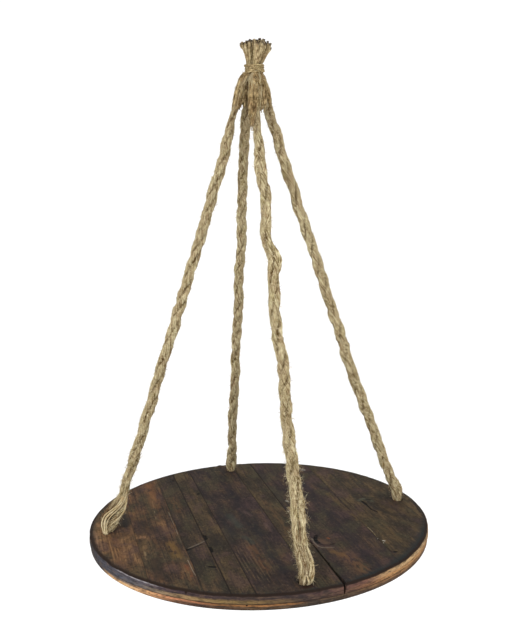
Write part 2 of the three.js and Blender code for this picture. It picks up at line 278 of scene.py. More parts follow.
class Recipe(Tree):
    """A Geometry Nodes tree with named inputs, which ends in real geometry with its material."""

    KINDS = {float: "NodeSocketFloat", int: "NodeSocketInt", Material: "NodeSocketMaterial"}

    def __init__(self, name: str, inputs: dict[str, type]) -> None:
        """Starts the tree.

        Args:
            name: The tree's name.
            inputs: The type of each input by name, besides the geometry and the finish.
        """
        super().__init__(bpy.data.node_groups.new(name, "GeometryNodeTree"))
        face = self.nodes.interface
        face.new_socket("Geometry", in_out="INPUT", socket_type="NodeSocketGeometry")
        for label, kind in {**inputs, "Finish": Material}.items():
            face.new_socket(label, in_out="INPUT", socket_type=self.KINDS[kind])
        face.new_socket("Geometry", in_out="OUTPUT", socket_type="NodeSocketGeometry")
        self.entry = self.nodes.nodes.new("NodeGroupInput")
        self.exit = self.nodes.nodes.new("NodeGroupOutput")

    def given(self, name: str) -> Value:
        """Gives one of the tree's inputs."""
        return Value(self, self.entry.outputs[name])

    def step(
        self, kind: str, geometry: object, settings: dict | None = None, inputs: dict | None = None,
    ) -> object:
        """Adds a node that changes geometry, which goes in at its first socket, and gives the result."""
        return self.node(kind, settings, {0: geometry, **(inputs or {})}).outputs[0]

    def random(self, low: float, high: float, seed: int) -> Value:
        """Gives each point its own fixed random number."""
        made = self.node("FunctionNodeRandomValue", {"data_type": "FLOAT"}, {2: low, 3: high, 8: seed})
        return Value(self, made.outputs[1])

    def stored(self, name: str, kind: str = "FLOAT") -> object:
        """Reads a named attribute: a Value for a number, and a socket for a vector."""
        made = self.node("GeometryNodeInputNamedAttribute", {"data_type": kind}, {"Name": name})
        return Value(self, made.outputs[0]) if kind == "FLOAT" else made.outputs[0]

    def store(self, geometry: object, name: str, value: object, kind: str = "FLOAT") -> object:
        """Stores a value on the points of the geometry under a name."""
        settings, inputs = {"data_type": kind, "domain": "POINT"}, {"Name": name, "Value": value}
        return self.step("GeometryNodeStoreNamedAttribute", geometry, settings, inputs)

    def strands(self, count: Value) -> tuple[object, Value]:
        """Turns the spine into a curve for each strand.

        Args:
            count: How many strands.

        Returns:
            The curves, which hold the length so far and the share of it, and the strand's number.
        """
        curve = self.step("GeometryNodeMeshToCurve", self.entry.outputs["Geometry"])
        parameter = self.node("GeometryNodeSplineParameter")
        curve = self.store(curve, "along", Value(self, parameter.outputs["Length"]))
        curve = self.store(curve, "share", Value(self, parameter.outputs["Factor"]))
        copies = self.node("GeometryNodeDuplicateElements", {"domain": "SPLINE"}, {0: curve, "Amount": count})
        curve = self.store(copies.outputs[0], "strand", Value(self, copies.outputs["Duplicate Index"]))
        return curve, self.stored("strand")

    def outward(self, angle: Value) -> Socket:
        """Gives the direction away from the spine at an angle round it."""
        side, ahead = self.stored("side", "FLOAT_VECTOR"), self.stored("ahead", "FLOAT_VECTOR")
        across = self.vector_math("CROSS_PRODUCT", ahead, side)
        return self.vector_math("ADD", self.scaled(side, angle.cosine()), self.scaled(across, angle.sine()))

    def moved(self, geometry: object, offset: Socket) -> object:
        """Moves each point by an offset."""
        return self.step("GeometryNodeSetPosition", geometry, None, {"Offset": offset})

    def circle(self, corners: Number) -> Socket:
        """Gives a round profile of unit radius."""
        inputs = {"Resolution": corners, "Radius": 1.0}
        return self.node("GeometryNodeCurvePrimitiveCircle", {"mode": "RADIUS"}, inputs).outputs[0]

    def swept(self, curve: object, profile: object, scale: Value) -> object:
        """Runs a profile along a curve at a scale, with closed ends."""
        inputs = {"Profile Curve": profile, "Fill Caps": True, "Scale": scale}
        return self.step("GeometryNodeCurveToMesh", curve, None, inputs)

    def close(self, geometry: object) -> None:
        """Ends the tree: makes instances real and sets the finish."""
        real = self.step("GeometryNodeRealizeInstances", geometry)
        dressed = self.step("GeometryNodeSetMaterial", real, None, {"Material": self.given("Finish")})
        self.feed(self.exit.inputs[0], dressed)

    def serve(self, source: Object, name: str, values: dict) -> Object:
        """Runs the tree on an object and gives its result as a plain mesh object, with its faces outward.

        Args:
            source: The object that goes in, which is removed afterwards.
            name: The name of the piece.
            values: The inputs by name.

        Returns:
            The new piece, at the origin.
        """
        modifier = source.modifiers.new("recipe", "NODES")
        modifier.node_group = self.nodes
        for item in self.nodes.interface.items_tree:
            if item.in_out == "INPUT" and item.name in values:
                modifier[item.identifier] = values[item.name]
        graph = bpy.context.evaluated_depsgraph_get()
        shaped = source.evaluated_get(graph)
        mesh = bpy.data.meshes.new_from_object(shaped, preserve_all_data_layers=True, depsgraph=graph)
        bpy.data.objects.remove(source)
        piece = put_in_scene(name, mesh)
        close_up(piece)
        return piece


def put_in_scene(name: str, mesh: bpy.types.Mesh) -> Object:
    """Makes an object of a mesh, names both and links it to the scene."""
    mesh.name = name
    obj = bpy.data.objects.new(name, mesh)
    bpy.context.scene.collection.objects.link(obj)
    return obj


def copy_of(obj: Object) -> Object:
    """Makes a second object of a piece's mesh, for a tree to use up."""
    return put_in_scene(obj.name + "_base", obj.data.copy())


def close_up(obj: Object, merge: float = 0.0, sharp: float = 0.0) -> None:
    """Merges doubles, turns all faces outward and smooths them, with edges beyond a sharp angle kept.

    Args:
        obj: The piece.
        merge: Metres within which points become one.
        sharp: Degrees beyond which an edge stays sharp.
    """
    mesh = bmesh.new()
    mesh.from_mesh(obj.data)
    if merge:
        bmesh.ops.remove_doubles(mesh, verts=mesh.verts, dist=merge)
    bmesh.ops.recalc_face_normals(mesh, faces=mesh.faces)
    mesh.to_mesh(obj.data)
    mesh.free()
    obj.data.shade_smooth()
    if sharp:
        obj.data.set_sharp_from_angle(angle=sharp * DEGREE)


def report(obj: Object) -> None:
    """Logs a piece's name and number of faces."""
    LOG.info("%s: %d faces", obj.name, len(obj.data.polygons))


def smooth_noise(x: np.ndarray, y: np.ndarray, seed: int) -> np.ndarray:
    """Makes smooth noise over a lattice of unit cells.

    Args:
        x: First coordinates.
        y: Second coordinates.
        seed: Which pattern.

    Returns:
        Values from -1 to 1.
    """

    def corner(a: np.ndarray, b: np.ndarray) -> np.ndarray:
        """Gives each lattice point its own fixed random value."""
        mixed = np.sin(a * 127.1 + b * 311.7 + seed * 74.7) * 43758.5453
        return (mixed - np.floor(mixed)) * 2 - 1

    x0, y0 = np.floor(x), np.floor(y)
    fx, fy = x - x0, y - y0
    fx, fy = fx * fx * (3 - 2 * fx), fy * fy * (3 - 2 * fy)
    low = corner(x0, y0) * (1 - fx) + corner(x0 + 1, y0) * fx
    high = corner(x0, y0 + 1) * (1 - fx) + corner(x0 + 1, y0 + 1) * fx
    return low * (1 - fy) + high * fy


def soft_step(values: np.ndarray, low: float, high: float) -> np.ndarray:
    """Goes smoothly from 0 at low to 1 at high."""
    share = np.clip((values - low) / (high - low), 0, 1)
    return share * share * (3 - 2 * share)


def hump(values: np.ndarray, middle: float, reach: float) -> np.ndarray:
    """Rises to 1 at the middle and falls to 0 at reach on both sides."""
    return 1 - soft_step(np.abs(values - middle), 0, reach)


class Side(Enum):
    """The four legs of rope."""

    LEFT = "left"
    BACK = "back"
    RIGHT = "right"
    FRONT = "front"


@dataclass(frozen=True)
class BoardFrame:
    """Where the board hangs: its own axes run across the grain, along the grain and up."""

    drop: float = 690.0
    lean: float = -0.88 * DEGREE
    grain_turn: float = 14.4 * DEGREE

    def matrix(self) -> Matrix:
        """Gives the turn and shift from the board's axes to the frame's."""
        turn = Matrix.Rotation(self.lean, 4, "Y") @ Matrix.Rotation(self.grain_turn, 4, "Z")
        return Matrix.Translation((0, 0, -self.drop * MM)) @ turn

    def place(self, points: np.ndarray) -> np.ndarray:
        """Moves points in millimetres of the board's axes to metres in the frame."""
        matrix = np.array(self.matrix())
        return (np.atleast_2d(points) * MM) @ matrix[:3, :3].T + matrix[:3, 3]


BOARD = BoardFrame()
BOARD_RADIUS = 265.0
BOARD_THICKNESS = 22.0
HOLE_RADIUS = 8.5
OPENED_PLANK = 7
OPENED_FROM = -116.6
NO_SEAM = 99.0
SHARP_DEGREES = 38.0
ROPE_DIAMETER = 16.0
TOUCH_GAP = 0.3


@dataclass(frozen=True)
class Leg:
    """One leg of rope: its quarter of the throat, its hole, its end in the crown and its route.

    A route point is the share of the straight line from throat to hole, and the drift along X. A girth
    point is a share of that line, and how thick the rope is there beside its usual size. The slump is how far
    the rope leans along X just over its hole.
    """

    quarter: int
    hole_turn: float
    inset_share: float
    end_rise: float
    route: tuple[tuple[float, float], ...]
    girth: tuple[tuple[float, float], ...]
    slump: float = 0.0

    def hole(self) -> np.ndarray:
        """Gives the hole's place across and along the grain."""
        reach = BOARD_RADIUS - 26.0 * self.inset_share
        turn = self.hole_turn * DEGREE
        return np.array([reach * math.cos(turn), reach * math.sin(turn)])

    def over_board(self, height: float, inward: float = 0.0, toward: np.ndarray | None = None) -> np.ndarray:
        """Gives a point over or under the hole, in metres, which may be moved toward a point of the board."""
        spot = self.hole()
        if toward is not None:
            spot = spot + (toward - spot) / np.linalg.norm(toward - spot) * inward
        return BOARD.place(np.array([*spot, height]))[0]

    def girth_at(self, share: float) -> float:
        """Gives how thick the rope is at a share of its leg, beside its usual size."""
        shares, sizes = zip(*self.girth)
        return float(np.interp(share, shares, sizes))

    def beside_axis(self, reach: float, height: float, drift: float = 0.0) -> np.ndarray:
        """Gives a point on this leg's side of the hanging axis, in metres."""
        turn = BOARD.grain_turn + self.quarter * math.pi / 2
        return np.array([reach * math.cos(turn) + drift, reach * math.sin(turn), height]) * MM


LEGS = {
    Side.LEFT: Leg(
        2, 174.2, 1.1, 38.0,
        ((0.09, -9.6), (0.131, -7.8), (0.19, -3.5), (0.244, -3.5), (0.307, -1.8), (0.37, 0), (0.435, 0.4),
         (0.5, 1.8), (0.565, 2.8), (0.63, 2.5), (0.695, 4.6), (0.762, 5.2), (0.829, 5.8), (0.887, 5.7),
         (0.93, 5.4)),
        ((0.02, 1.0), (0.032, 1.0), (0.05, 1.02), (0.075, 0.86), (0.09, 0.58), (0.105, 0.6), (0.118, 0.76),
         (0.135, 0.86), (0.18, 0.96), (0.8, 0.98), (0.87, 0.9), (0.9, 0.78), (0.915, 0.8), (0.945, 0.96),
         (0.965, 1.12), (0.985, 1.1), (1.0, 1.0)),
    ),
    Side.BACK: Leg(
        1, 88.0, 1.3, 41.0,
        ((0.085, -8.3), (0.126, -8.9), (0.18, -9), (0.246, -8), (0.314, -7), (0.384, -4.4), (0.458, -6.2),
         (0.533, -3.4), (0.611, -4.3), (0.692, -2.9), (0.776, -2.4), (0.864, -2.4), (0.935, 0)),
        ((0.02, 1.0), (0.032, 1.1), (0.05, 1.1), (0.075, 0.98), (0.09, 0.86), (0.12, 0.94), (1.0, 0.94)),
    ),
    Side.RIGHT: Leg(
        0, 0.3, 1.0, 38.0,
        ((0.086, -0.4), (0.129, 0.7), (0.181, -2), (0.246, -2), (0.311, -3.4), (0.379, -2.6), (0.447, -3.1),
         (0.516, -4.3), (0.587, -4), (0.658, -5.5), (0.733, -4.5), (0.808, -2.5), (0.884, -1.6),
         (0.935, 0)),
        ((0.02, 1.0), (0.032, 1.02), (0.05, 1.06), (0.075, 1.0), (0.09, 0.88), (0.15, 0.97), (0.9, 1.0),
         (1.0, 1.0)),
        -2.6,
    ),
    Side.FRONT: Leg(
        3, 270.2, 1.0, 38.0,
        ((0.094, -4.4), (0.129, -4.8), (0.182, -4.4), (0.228, -4.8), (0.274, -1.6), (0.304, -4.2),
         (0.334, -6.6), (0.365, -4.4), (0.395, -0.2), (0.425, -1), (0.483, -4.4), (0.542, -3.8), (0.6, 0.2),
         (0.657, -1.5), (0.713, -2.2), (0.769, -0.9), (0.852, 0.2), (0.915, 0.2), (0.945, 1.4)),
        ((0.02, 1.0), (0.032, 1.1), (0.05, 1.1), (0.075, 0.95), (0.1, 0.76), (0.13, 0.68), (0.145, 0.8),
         (0.18, 1.0), (0.3, 0.92), (0.42, 0.98), (0.7, 1.0), (0.85, 1.1), (0.94, 1.16), (0.98, 1.08),
         (1.0, 1.0)),
        1.8,
    ),
}

THROAT_ROPE_RADIUS = 5.2
THROAT_REACH = (THROAT_ROPE_RADIUS + TOUCH_GAP / 2) * math.sqrt(2)
WINDING_HALF_HEIGHT = 7.15
NECK_RUN = ((14.0, 11.5, -2.5), (22.0, 14.4, -3.6), (34.0, 18.6, -3.6))
CROWN_RUN = ((13.0, 8.6, 6.3), (20.0, 10.4, 7.4), (28.0, 12.7, 8.8))
CROWN_TOP = (14.3, 9.5)
ENTRY_SHARES = ((1.1, 1.12), (0.55, 1.02), (0.15, 0.86), (0.0, 0.84))
TUCK_BEND = 8.0
TUCK_TOP = 0.6 - BOARD_THICKNESS - TOUCH_GAP
TUCK_GIRTH = 0.8
HOLE_ALONG = 0.741
YARN_STEP = 0.0022


@dataclass
class Line:
    """A smooth line through chosen points, with a radius along it, in evenly spaced steps."""

    points: np.ndarray
    radii: np.ndarray

    @classmethod
    def through(cls, run: Sequence[tuple[np.ndarray, float]], step: float) -> "Line":
        """Runs a smooth line through chosen points.

        Args:
            run: The points in metres, each with its radius in millimetres.
            step: Spacing of the result, in metres.

        Returns:
            The evenly spaced line.
        """
        data = np.array([[*point, radius * MM] for point, radius in run], float)
        ends = np.vstack([2 * data[0] - data[1], data, 2 * data[-1] - data[-2]])
        chords = np.linalg.norm(np.diff(ends[:, :3], axis=0), axis=1)
        knots = np.concatenate([[0], np.cumsum(np.sqrt(chords))])
        fine = [cls._piece(ends[i:i + 4], knots[i:i + 4]) for i in range(len(data) - 1)]
        dense = np.vstack([*fine, data[-1:]])
        along = np.concatenate([[0], np.cumsum(np.linalg.norm(np.diff(dense[:, :3], axis=0), axis=1))])
        count = max(int(round(along[-1] / step)), 2)
        places = np.linspace(0, along[-1], count + 1)
        even = np.column_stack([np.interp(places, along, dense[:, k]) for k in range(4)])
        return cls(even[:, :3], even[:, 3])

    @staticmethod
    def _piece(p: np.ndarray, t: np.ndarray, count: int = 16) -> np.ndarray:
        """Gives points of the centripetal spline between the two middle ones of four points.

        Args:
            p: The four points.
            t: Their knots.
            count: How many points to give.

        Returns:
            The points, without the last one.
        """
        s = np.linspace(t[1], t[2], count, endpoint=False)[:, None]

        def between(a: np.ndarray, b: np.ndarray, ta: float, tb: float) -> np.ndarray:
            """Mixes two points by where s lies between their knots."""
            return a * (tb - s) / (tb - ta) + b * (s - ta) / (tb - ta)

        a1, a2, a3 = (between(p[i], p[i + 1], t[i], t[i + 1]) for i in range(3))
        b1, b2 = between(a1, a2, t[0], t[2]), between(a2, a3, t[1], t[3])
        return between(b1, b2, t[1], t[2])

    def along(self) -> np.ndarray:
        """Gives the length up to each point."""
        return np.concatenate([[0], np.cumsum(np.linalg.norm(np.diff(self.points, axis=0), axis=1))])

    def at(self, places: np.ndarray) -> np.ndarray:
        """Gives the points at lengths along the line."""
        return np.column_stack([np.interp(places, self.along(), self.points[:, k]) for k in range(3)])

    def directions(self) -> np.ndarray:
        """Gives the unit direction at each point."""
        ahead = np.gradient(self.points, axis=0)
        return ahead / np.linalg.norm(ahead, axis=1)[:, None]

    def sides(self) -> np.ndarray:
        """Gives a unit vector across the line at each point, which turns as little as it can."""
        ahead = self.directions()
        first = np.cross(ahead[0], (0.0, 1.0, 0.3))
        found = [first / np.linalg.norm(first)]
        for direction in ahead[1:]:
            side = found[-1] - direction * (found[-1] @ direction)
            found.append(side / np.linalg.norm(side))
        return np.array(found)

    def spine(self, **extras: np.ndarray | float) -> Object:
        """Makes an object of the line as a chain of edges, which holds its radius, axes and extras.

        Args:
            extras: Attributes by name, each one number or one for each point.

        Returns:
            The object.
        """
        count = len(self.points)
        mesh = bpy.data.meshes.new("spine")
        mesh.from_pydata(self.points.tolist(), [(i, i + 1) for i in range(count - 1)], [])
        for name, values in {"swell": self.radii, **extras}.items():
            values = np.broadcast_to(values, count).astype(np.float32)
            mesh.attributes.new(name, "FLOAT", "POINT").data.foreach_set("value", values)
        for name, values in (("side", self.sides()), ("ahead", self.directions())):
            data = mesh.attributes.new(name, "FLOAT_VECTOR", "POINT").data
            data.foreach_set("vector", values.astype(np.float32).ravel())
        return put_in_scene("spine", mesh)


def yarn_profile(tree: Recipe) -> object:
    """Adds the cross-section of a strand: one small lobe for each yarn round it.

    Args:
        tree: The tree to add it to.

    Returns:
        The closed curve, which holds wave and yarn.
    """
    corners = tree.given("Corners")
    index = Value(tree, tree.node("GeometryNodeInputIndex").outputs[0])
    wave = (index * FULL_TURN / corners).cosine()
    curve = tree.store(tree.circle(tree.given("Yarns") * corners), "wave", wave)
    curve = tree.store(curve, "yarn", (index / corners).whole())
    position = tree.node("GeometryNodeInputPosition").outputs[0]
    grown = tree.scaled(position, 1.0 + tree.given("Yarn depth") * wave)
    return tree.step("GeometryNodeSetPosition", curve, None, {"Position": grown})


def laid_cord_recipe() -> Recipe:
    """Builds the tree that lays strands of spun yarn round a spine.

    Returns:
        The tree. Its spine holds swell, turn, twist, side and ahead at each point.
    """
    tree = Recipe("laid_cord", {
        "Strands": int, "Core share": float, "Strand share": float, "Yarns": int, "Corners": int,
        "Yarn depth": float, "Slub": float, "Rough": float, "Seed": float,
    })
    seed, slub = tree.given("Seed"), tree.given("Slub")
    curve, strand = tree.strands(tree.given("Strands"))
    curve = tree.store(curve, "core", tree.node("GeometryNodeInputPosition").outputs[0], "FLOAT_VECTOR")
    along, swell = tree.stored("along"), tree.stored("swell")
    uneven = tree.noise(tree.joined(along, strand * 3.7 + seed, 0.0), 38.0, 1.5) - 0.5
    lumps = tree.noise(tree.joined(along, strand * 5.1 + seed, 4.0), 52.0, 2.5, 0.6) - 0.5
    reach = swell * tree.given("Core share") * (1.0 + slub * uneven * 1.3)
    angle = tree.stored("turn") + strand * FULL_TURN / tree.given("Strands")
    curve = tree.moved(curve, tree.scaled(tree.outward(angle), reach))
    curve = tree.step("GeometryNodeSetCurveTilt", curve, None, {"Tilt": tree.stored("twist")})
    girth = swell * tree.given("Strand share") * (1.0 + slub * lumps * 1.6)
    mesh = tree.swept(curve, yarn_profile(tree), girth)
    yarn = tree.stored("yarn") * 7.1 + strand * 13.0
    spun = tree.noise(tree.joined(along * 120.0, yarn, seed), 1.0, 3.0, 0.7)
    normal = tree.node("GeometryNodeInputNormal").outputs[0]
    mesh = tree.moved(mesh, tree.scaled(normal, swell * tree.given("Rough") * (spun - 0.5)))
    position = tree.node("GeometryNodeInputPosition").outputs[0]
    away = tree.length(tree.vector_math("SUBTRACT", position, tree.stored("core", "FLOAT_VECTOR")))
    # The depth, distance from the strand's core over the rope's radius, sets where the jute finish paints
    # shade into the grooves; the fuzz also picks its faces by it.
    tree.close(tree.store(mesh, "depth", away / swell))
    return tree


def yarn_bundle_recipe() -> Recipe:
    """Builds the tree that opens a rope's end into single yarns, trimmed unevenly and curled.

    Returns:
        The tree. Its spine holds swell, turn, side and ahead at each point.
    """
    tree = Recipe("yarn_bundle", {
        "Yarns": int, "Yarn share": float, "Hollow": float, "Wander": float, "Curl": float, "Trim": float,
        "Corners": int, "Seed": int,
    })
    curve, strand = tree.strands(tree.given("Yarns"))
    along, share, swell = tree.stored("along"), tree.stored("share"), tree.stored("swell")
    hollow, seed, thick = tree.given("Hollow"), tree.given("Seed") * 17.3, tree.given("Yarn share")
    spread = (hollow + (1.0 - hollow) * (strand + 0.5) / tree.given("Yarns")) ** 0.5
    reach = swell * spread * (1.0 - thick)
    placed = tree.scaled(tree.outward(strand * GOLDEN_ANGLE + tree.stored("turn")), reach)
    places = [tree.joined(along * 55.0, strand * 9.1 + seed, 3.0 * k) for k in range(3)]
    wander = [tree.noise(place, 1.0, 1.0) - 0.5 for place in places]
    loose = swell * (tree.given("Wander") + tree.given("Curl") * share.rise(0.55, 1.0))
    curve = tree.moved(curve, tree.vector_math("ADD", placed, tree.scaled(tree.joined(*wander), loose)))
    # Inner yarns get a lower depth, so the jute finish paints them darker as shade inside the bundle.
    curve = tree.store(curve, "depth", 0.62 + 0.38 * spread)
    inputs = {2: 0.0, 3: 1.0, 7: strand, 8: tree.given("Seed")}
    cut = Value(tree, tree.node("FunctionNodeRandomValue", {"data_type": "FLOAT"}, inputs).outputs[1])
    end = 1.0 - tree.given("Trim") * cut
    curve = tree.step("GeometryNodeTrimCurve", curve, {"mode": "FACTOR"}, {"End": end})
    curve = tree.store(curve, "tip", Value(tree, tree.node("GeometryNodeSplineParameter").outputs["Factor"]))
    lumps = tree.noise(tree.joined(along * 90.0, strand * 4.3 + seed, 1.0), 1.0, 1.0) + 0.5
    tree.close(tree.swept(curve, tree.circle(tree.given("Corners")), swell * thick * lumps))
    return tree


def fuzz_recipe() -> Recipe:
    """Builds the tree that stands bent fibres on the outermost faces of a cord.

    Returns:
        The tree. Its mesh holds depth and hairy.
    """
    tree = Recipe("fuzz", {
        "Density": float, "Length": float, "Lift": float, "Thickness": float, "From depth": float,
        "Seed": int,
    })
    points = tree.node("GeometryNodeDistributePointsOnFaces", {"distribute_method": "RANDOM"}, {
        0: tree.entry.outputs["Geometry"], "Selection": tree.stored("depth") > tree.given("From depth"),
        "Density": tree.given("Density") * tree.stored("hairy"), "Seed": tree.given("Seed"),
    })
    length, lift = tree.given("Length"), tree.given("Lift")
    hair = tree.node("GeometryNodeCurveQuadraticBezier", None, {
        "Resolution": 3, "Start": (0.0, 0.0, -0.0004),
        "Middle": tree.joined(length * (0.42 - 0.9 * lift), 0.0, length * lift),
        "End": tree.joined(length * 0.75, 0.0, length * lift * 1.4),
    })
    taper = 1.0 - 0.7 * Value(tree, tree.node("GeometryNodeSplineParameter").outputs["Factor"])
    fibre = tree.swept(hair.outputs[0], tree.circle(3), tree.given("Thickness") * taper)
    turn = tree.random(-math.pi, math.pi, 1)
    spun = tree.node("FunctionNodeAxisAngleToRotation", None, {"Axis": (0.0, 0.0, 1.0), "Angle": turn})
    rotation = tree.node("FunctionNodeRotateRotation", {"rotation_space": "LOCAL"}, {
        0: points.outputs["Rotation"], 1: spun.outputs[0],
    })
    size = tree.joined(tree.random(0.2, 1.3, 2), 1.0, tree.random(0.15, 1.1, 3))
    tree.close(tree.step("GeometryNodeInstanceOnPoints", points.outputs[0], None, {
        "Instance": fibre, "Rotation": rotation.outputs[0], "Scale": size,
    }))
    return tree


@dataclass(frozen=True)
class JuteFinish:
    """Dry jute: mottled tan yarns with pale and dark fibre streaks, painted brown shade down their grooves
    and painted light on their crests.
    """

    name: str
    body: tuple = (174, 156, 119)
    light: tuple = (224, 213, 175)
    # Dark brown of the darker yarns and streaks, and the painted shade down the grooves.
    dark_and_groove_shade: tuple = (86, 64, 33)
    stain: tuple = (160, 132, 100)
    olive: tuple = (142, 130, 82)
    tip: tuple = (52, 43, 36)
    # Brown for dirt and for painted shade, where the piece is marked dark.
    soil: tuple = (84, 60, 38)
    # Depths between which the painted groove shade gives way to the yarns' own colours.
    groove_shade_from: float = 0.56
    groove_shade_to: float = 0.88
    uneven: float = 0.45
    tipped: bool = False

    def build(self) -> Material:
        """Makes the material.

        Returns:
            The material of a rope, a yarn or the twine.
        """
        surface = Surface(self.name)
        place = surface.place()
        yarn = surface.attribute("yarn") * 7.3 + surface.attribute("strand") * 31.0
        wave, along = surface.attribute("wave"), surface.attribute("along")
        streak = surface.noise(surface.joined(along * 90.0, yarn + wave * 0.5, 0.0), 1.0, 3.0, 0.65)
        own = surface.noise(surface.joined(yarn, along * 9.0, 5.0), 1.0, 0.0)
        patch = surface.noise(place, 60.0, 3.0, 0.6)
        cast = surface.noise(surface.vector_math("ADD", place, (3.0, 1.0, 2.0)), 70.0, 3.0, 0.6)
        clump = surface.noise(place, 190.0, 3.0, 0.6)
        fibre = surface.noise(place, 620.0, 2.5, 0.7)
        # Painted light and shade: the crests of the yarns' lobes are lighter, and the surface that lies deep
        # between strands and yarns takes the brown shade colour.
        crest_light = (wave * 0.5 + 0.5) * 0.6 + 0.4
        depth = surface.attribute("depth") + (clump - 0.5) * 0.6 + (fibre - 0.5) * 0.25
        lit = (depth.rise(self.groove_shade_from, self.groove_shade_to) * crest_light + clump.rise(0.48, 0.66) * 0.35).clipped()
        worn = surface.coats(
            self.body,
            (patch.rise(0.44, 0.66) * 0.7, self.stain),
            (cast.rise(0.46, 0.66) * 0.7, self.olive),
            (own.rise(0.5, 0.36) * self.uneven, self.dark_and_groove_shade),
            (own.rise(0.5, 0.66) * self.uneven * 1.4, self.light),
            ((streak.rise(0.47, 0.66) * 0.85 + fibre.rise(0.52, 0.68) * 0.4).clipped(), self.light),
            (((1.0 - streak).rise(0.5, 0.64) * 0.75 + fibre.rise(0.46, 0.34) * 0.3).clipped(), self.dark_and_groove_shade),
        )
        # Paints the brown shade into the grooves; the crests keep the yarns' own colours.
        colour = surface.mix(lit, self.dark_and_groove_shade, worn)
        if self.tipped:
            ragged = surface.noise(place, 260.0, 1.0).rise(0.28, 0.5)
            colour = surface.mix(surface.attribute("tip").rise(0.86, 0.98) * ragged * 0.95, colour, self.tip)
        # Dirt and painted shade: browns the surface where the piece is marked dark, most in the grooves and
        # least on the crests.
        soiled = surface.attribute("soil") * (1.5 - lit) * surface.noise(place, 150.0, 2.0).rise(0.22, 0.46)
        colour = surface.mix(soiled.clipped(), colour, self.soil)
        surface.relief(streak * 0.4 + fibre * 0.3 + clump * 0.3, 0.0009, 0.8)
        return surface.finish(colour, 0.95, 0.1)


@dataclass(frozen=True)
class FibreFinish:
    """Single fibres: one pale tan, a little uneven, browned for dirt and painted shade where the piece under
    them is marked dark.
    """

    name: str
    colour: tuple = (222, 211, 176)
    other: tuple = (182, 160, 116)
    # Brown for dirt and for painted shade.
    soil: tuple = (98, 74, 48)

    def build(self) -> Material:
        """Makes the material."""
        surface = Surface(self.name)
        uneven = surface.noise(surface.place(), 300.0, 1.0).rise(0.4, 0.6)
        # The last coat is dirt and painted shade, read from the piece the fibres grow on.
        colour = surface.coats(
            self.colour, (uneven, self.other), ((surface.attribute("soil") * 0.9).clipped(), self.soil),
        )
        return surface.finish(colour, 0.9, 0.2)


@dataclass
class Workshop:
    """The trees and the finishes that ropes, yarns and twine are made with."""

    cord: Recipe = field(default_factory=laid_cord_recipe)
    bundle: Recipe = field(default_factory=yarn_bundle_recipe)
    fuzz: Recipe = field(default_factory=fuzz_recipe)
    jute: Material = field(default_factory=JuteFinish("jute").build)
    hair: Material = field(default_factory=FibreFinish("jute_fibre").build)
    shaded: Material = field(default_factory=FibreFinish(
        "jute_fibre_shaded", (112, 88, 50), (84, 62, 34),
    ).build)
    loose: Material = field(default_factory=JuteFinish(
        "jute_loose", (144, 121, 84), (190, 168, 124), (64, 46, 24), (140, 107, 74), (122, 105, 60),
        groove_shade_from=0.68, groove_shade_to=0.96, uneven=0.6,
    ).build)
    ends: Material = field(default_factory=JuteFinish(
        "jute_ends", (168, 149, 112), (202, 186, 148), (86, 66, 36), (158, 130, 96), (138, 124, 80),
        uneven=0.5, tipped=True,
    ).build)
    twine: Material = field(default_factory=JuteFinish(
        "jute_twine", (170, 147, 104), (212, 194, 150), (84, 62, 30), (160, 128, 88), uneven=0.6,
    ).build)
    pale: Material = field(default_factory=JuteFinish(
        "jute_pale", (196, 182, 146), (226, 216, 184), (146, 122, 84), (188, 164, 130),
    ).build)

    def strand(
        self, line: Line, name: str, twist: float, finish: Material, **sizes: float | np.ndarray,
    ) -> Object:
        """Lays one strand of spun yarns along a line.

        Args:
            line: The strand's line, which starts at the throat's side.
            name: The name of the piece.
            twist: Metres for one turn of the yarns.
            finish: The jute material.
            sizes: The strand's yarns, yarn_depth, slub, rough and seed, and, at each point, its darkening for
                dirt and painted shade and its hairy share.

        Returns:
            The strand.
        """
        turned = line.along() * FULL_TURN / twist
        spine = line.spine(turn=0, twist=turned, soil=sizes["soil"], hairy=sizes["hairy"])
        return self.cord.serve(spine, name, {
            "Strands": 1, "Core share": 0.0, "Strand share": 1.0, "Yarns": sizes["yarns"], "Corners": 4,
            "Yarn depth": sizes["yarn_depth"], "Slub": sizes["slub"], "Rough": sizes["rough"],
            "Seed": sizes["seed"], "Finish": finish,
        })


@dataclass(frozen=True)
class Fluff:
    """One kind of fibre on a cord: how many to a square metre, how long, how far off and how thick."""

    name: str
    density: float
    length: float
    lift: float
    thickness: float
    from_depth: float

    def grow(self, piece: Object, seed: int, shop: Workshop, dark: bool = False) -> Object:
        """Grows the fibres on a piece that holds depth and hairy.

        Args:
            piece: The piece, which stays as it is.
            seed: Which pattern.
            shop: The trees and finishes.
            dark: Whether the fibres are the darker ones.

        Returns:
            The fibres as a piece of their own.
        """
        return shop.fuzz.serve(copy_of(piece), f"{piece.name}_{self.name}", {
            "Density": self.density, "Length": self.length, "Lift": self.lift, "Thickness": self.thickness,
            "From depth": self.from_depth, "Seed": seed, "Finish": shop.shaded if dark else shop.hair,
        })


STANDING = Fluff("fibres", 38000.0, 0.011, 0.42, 0.00012, 0.84)
LYING = Fluff("lying_fibres", 20000.0, 0.011, 0.05, 0.00032, 0.72)
SHADED = Fluff("shaded_fibres", 18000.0, 0.01, 0.04, 0.0003, 0.7)
WISPS = Fluff("wisps", 30000.0, 0.006, 0.16, 0.00018, 0.7)


def hang(*pieces: Object) -> None:
    """Bakes each piece's place into its mesh and logs its faces."""
    for piece in pieces:
        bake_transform(piece)
        report(piece)


def crossing() -> np.ndarray:
    """Gives the place on the board, across and along the grain, that both ropes pass under."""
    left, back, right, front = (LEGS[side].hole() for side in Side)
    across, along = right - left, back - front
    factors = np.linalg.solve(np.column_stack([along, -across]), left - front)
    return front + along * factors[0]


